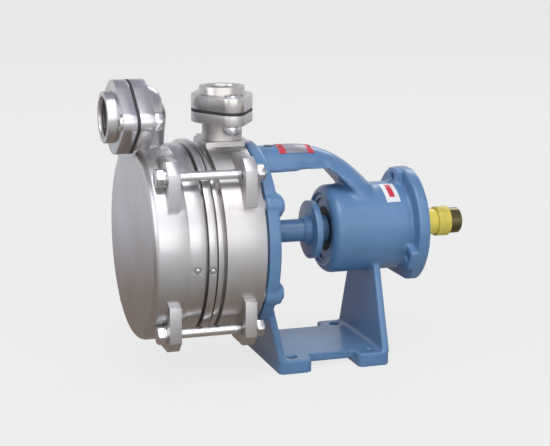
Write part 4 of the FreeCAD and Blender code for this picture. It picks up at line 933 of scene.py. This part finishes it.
INNER_FINISH = {
    "turned_steel": ("impeller_key", "impeller_nut", "impeller_washer", "seal_cover",
                     "rear_bearing_inner_ring", "front_bearing_inner_ring", "front_bearing_outer_ring",
                     "rear_bearing_outer_ring", "front_bearing_balls", "rear_bearing_balls",
                     "shaft_circlips"),
    "cast_steel": ("first_impeller", "second_impeller"),
    "blue_paint": ("rear_bearing_cover", "front_bearing_cover", "front_cover_circlip"),
    "dark_steel": ("arm_plug",),
    "zinc_plate": ("seal_cover_screws", "rear_cover_screws", "drain_plug"),
    "yellow_plastic": ("front_bearing_cage", "rear_bearing_cage"),
    "black_rubber": ("seal_bellows", "front_lip_seal", "rear_lip_seal", "casing_seal_rings"),
    "seal_carbon": ("seal_rotating_ring",),
    "seal_ceramic": ("seal_stationary_ring",),
}


class InnerFinisher(bpy.types.Operator):
    """Gives the pieces that keep their CAD shape their finish"""
    bl_idname = "pump.inner_pieces"
    bl_label = "Inner pieces"

    def execute(self, context):
        for finish, names in INNER_FINISH.items():
            for name in names:
                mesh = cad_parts[name].data
                mesh.materials.clear()
                mesh.materials.append(material_of(finish))
        return {"FINISHED"}


# Nameplate and sticker

def bent_sheet(name, start, width, radius, height, turns, thickness, base):
    """A sheet on the round top of the base, between two angles from straight up towards -Y."""
    columns, rows = 12, 24
    first, last = turns
    sheet = first_point(name, (start, -radius * math.sin(first), height + radius * math.cos(first)))
    for column in range(columns):
        draw_on((width / columns, 0, 0))
    bpy.ops.mesh.select_all(action="SELECT")
    bpy.ops.mesh.spin(steps=rows, angle=first - last, center=(start, 0, height), axis=(1, 0, 0))
    leave()
    lie = sheet.data.uv_layers.new(name="lie")
    for loop in sheet.data.loops:
        place = sheet.data.vertices[loop.vertex_index].co
        angle = math.atan2(-place.y, place.z - height)
        lie.data[loop.index].uv = ((place.x - start) / width, (angle - first) / (last - first))
    close_shell(sheet)
    if sheet.data.polygons[0].normal.dot(Vector((0, -math.sin(first), math.cos(first)))) < 0:
        sheet.data.flip_normals()
    apply_modifier(sheet, "SHRINKWRAP", target=base, wrap_method="NEAREST_SURFACEPOINT",
                   wrap_mode="ABOVE_SURFACE", offset=0.0001)
    apply_modifier(sheet, "SOLIDIFY", thickness=thickness, offset=1)
    smooth(sheet)
    return sheet


class PlateMaker(bpy.types.Operator):
    """Lays the blank nameplate with its rivets on the arm and the blank sticker on the housing"""
    bl_idname = "pump.plates"
    bl_label = "Nameplate and sticker"

    plate_turns = (math.radians(-4), math.radians(52))
    sticker_turns = (math.radians(12), math.radians(48))

    def rivet(self, name, across, height, plate):
        """A low round head that stands on the plate, halfway down it."""
        turn = sum(self.plate_turns) / 2
        out = Vector((0, -math.sin(turn), math.cos(turn)))
        above = Vector((across, 0, height)) + out * (sizes().arm_radius + 0.01)
        place = plate.ray_cast(above, -out)[1]
        root, size = -0.0004, sizes().rivet_radius
        rivet = turned(name, [(root, 0), (root, size), (size * 0.2, size), (size * 0.5, size * 0.6),
                              (size * 0.6, 0)], 20, place, out)
        smooth(rivet, 60)
        hand_over(rivet, "dark_steel", "dark_steel")

    def execute(self, context):
        bracket, size = bpy.data.objects["bracket_casting"], sizes()
        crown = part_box("bearing_bracket")[1].z - size.arm_radius
        start, width, inset = size.plate_start, size.plate_length, size.rivet_inset
        plate = bent_sheet("nameplate", start, width, size.arm_radius, crown,
                           self.plate_turns, size.plate_thickness, bracket)
        hand_over(plate, "machined_steel", "nameplate_metal")
        self.rivet("nameplate_rivet_1", start + inset, crown, plate)
        self.rivet("nameplate_rivet_2", start + width - inset, crown, plate)
        sticker = bent_sheet("sticker", size.sticker_start, size.sticker_width, size.housing_radius,
                             size.shaft_height, self.sticker_turns, size.sticker_thickness, bracket)
        hand_over(sticker, "machined_steel", "sticker_film")
        return {"FINISHED"}


# Stage

class StageMaker(bpy.types.Operator):
    """Lays the floor, hangs the lamps and sets the camera"""
    bl_idname = "pump.stage"
    bl_label = "Floor, lamps and camera"

    # Reach of the floor, height of its wall and side of the card, in metres
    floor_radius, wall_height, card_side = 7, 3, 6

    # Share of its own light in what the camera and reflections see of the floor, and paleness of its paper
    glow_share, paper_share = 0.86, 0.62

    # Tones of the card from the pump's front to its back, as shares of its run along Y, in metres
    card_run = (-1.0, 1.5)
    card_tones = (
        (0.16, (0.72, 0.72, 0.72, 1)), (0.3, (0.45, 0.45, 0.45, 1)), (0.352, (0.28, 0.235, 0.205, 1)),
        (0.52, (0.28, 0.235, 0.205, 1)), (0.7, (0.62, 0.63, 0.7, 1)), (1.0, (0.72, 0.72, 0.74, 1)),
    )

    # Name, place, what it points at, width, height (none for a round one) and power of each lamp
    lamps = (
        ("front_softbox", (-0.3, -1.85, 1.38), (-0.05, 0, 0.15), 3.2, 2.87, 34),
        ("top_softbox", (-0.2, -0.9, 2.6), (-0.05, 0, 0.15), 1.5, None, 20),
        ("side_softbox", (-2.6, -0.6, 1.3), (-0.1, 0, 0.15), 2.0, None, 17),
        ("back_softbox", (1.4, 1.8, 1.8), (0, 0, 0.15), 1.0, None, 8),
    )

    def lay_floor(self):
        bpy.ops.mesh.primitive_circle_add(vertices=128, radius=self.floor_radius, fill_type="NGON")
        floor = bpy.context.object
        floor.name = "studio_floor"
        edit(floor)
        bpy.ops.mesh.extrude_region_move(TRANSFORM_OT_translate={"value": (0, 0, self.wall_height)})
        bpy.ops.mesh.delete(type="ONLY_FACE")
        leave()
        smooth(floor, 60)
        material, tree, shader = new_material("studio_paper")
        shader.inputs["Base Color"].default_value = solid(colours().floor, self.paper_share)
        shader.inputs["Roughness"].default_value = 0.9
        ray = add_node(tree, "LightPath")
        seen, through = maths(tree, "ADD"), maths(tree, "ADD")
        share = maths(tree, "MULTIPLY", None, self.glow_share, clamp=True)
        glow = add_node(tree, "Emission", Color=solid(colours().floor))
        mix = add_node(tree, "MixShader")
        wire(tree, (ray, "Is Camera Ray", seen, 0), (ray, "Is Glossy Ray", seen, 1),
             (seen, 0, through, 0), (ray, "Is Transmission Ray", through, 1),
             (through, 0, share, 0), (share, 0, mix, 0),
             (shader, 0, mix, 1), (glow, 0, mix, 2),
             (mix, 0, tree.nodes["Material Output"], "Surface"))
        floor.data.materials.append(material)

    def lay_card(self):
        """A sheet that only reflections see: dim and warm under the pump, paler further off."""
        bpy.ops.mesh.primitive_plane_add(size=self.card_side, location=(0, 0, 0.0005))
        card = bpy.context.object
        card.name = "reflected_card"
        settle(card)
        material, tree = new_material("card_paper")[:2]
        split = along_axes(tree, add_node(tree, "TexCoord"), "Object")
        along = add_node(tree, "MapRange", From_Min=self.card_run[0], From_Max=self.card_run[1])
        tones = add_node(tree, "ValToRGB")
        stops = tones.color_ramp.elements
        first, *between, last = self.card_tones
        stops[0].position, stops[0].color = first
        stops[1].position, stops[1].color = last
        for place, tone in between:
            stops.new(place).color = tone
        glow = add_node(tree, "Emission")
        wire(tree, (split, "Y", along, "Value"), (along, 0, tones, 0),
             (tones, "Color", glow, "Color"), (glow, 0, tree.nodes["Material Output"], "Surface"))
        card.data.materials.append(material)
        for kind in ("camera", "diffuse", "shadow", "transmission", "volume_scatter"):
            setattr(card, f"visible_{kind}", False)

    def hang_lamps(self):
        for name, place, target, width, tall, power in self.lamps:
            bpy.ops.object.light_add(type="AREA", location=place)
            lamp = bpy.context.object
            lamp.name = name
            lamp.data.shape = "RECTANGLE" if tall else "DISK"
            lamp.data.size, lamp.data.size_y = width, tall or width
            lamp.data.energy = power
            aim = Vector(target) - Vector(place)
            lamp.rotation_euler = aim.to_track_quat("-Z", "Y").to_euler()

    def execute(self, context):
        scene = context.scene
        self.lay_floor()
        self.lay_card()
        self.hang_lamps()
        world = bpy.data.worlds.new("studio")
        world.use_nodes = True
        world.node_tree.nodes["Background"].inputs["Color"].default_value = solid(colours().room)
        scene.world = world
        scene.view_settings.view_transform = "Standard"
        bpy.ops.object.camera_add(location=sizes().camera_place, rotation=sizes().camera_turn)
        camera = context.object
        camera.data.lens = sizes().camera_lens
        camera.data.sensor_width = 36
        camera.data.clip_start = 0.01
        scene.camera = camera
        return {"FINISHED"}


class PumpPanel(bpy.types.Panel):
    bl_idname = "VIEW3D_PT_pump"
    bl_label = "Self-priming pump"
    bl_space_type = "VIEW_3D"
    bl_region_type = "UI"
    bl_category = "Pump"

    def draw(self, context):
        for settings in (context.scene.pump_sizes, context.scene.pump_colours):
            for name in settings.__annotations__:
                self.layout.prop(settings, name)
        for step in STEPS:
            self.layout.operator(step.bl_idname)


STEPS = (BracketMaker, SteelEndMaker, PortMaker, FastenerMaker, ShaftMaker, InnerFinisher,
         PlateMaker, StageMaker)
CLASSES = (PumpSizes, PumpColours) + STEPS + (PumpPanel,)


def register():
    for item in CLASSES:
        bpy.utils.register_class(item)
    bpy.types.Scene.pump_sizes = bpy.props.PointerProperty(type=PumpSizes)
    bpy.types.Scene.pump_colours = bpy.props.PointerProperty(type=PumpColours)


def unregister():
    del bpy.types.Scene.pump_colours
    del bpy.types.Scene.pump_sizes
    for item in reversed(CLASSES):
        bpy.utils.unregister_class(item)


def main():
    register()
    bpy.ops.pump.bearing_bracket()
    bpy.ops.pump.steel_end()
    bpy.ops.pump.port_flanges()
    bpy.ops.pump.fasteners()
    bpy.ops.pump.shaft_pieces()
    bpy.ops.pump.inner_pieces()
    bpy.ops.pump.plates()
    bpy.ops.pump.stage()


if __name__ == "__main__":
    main()
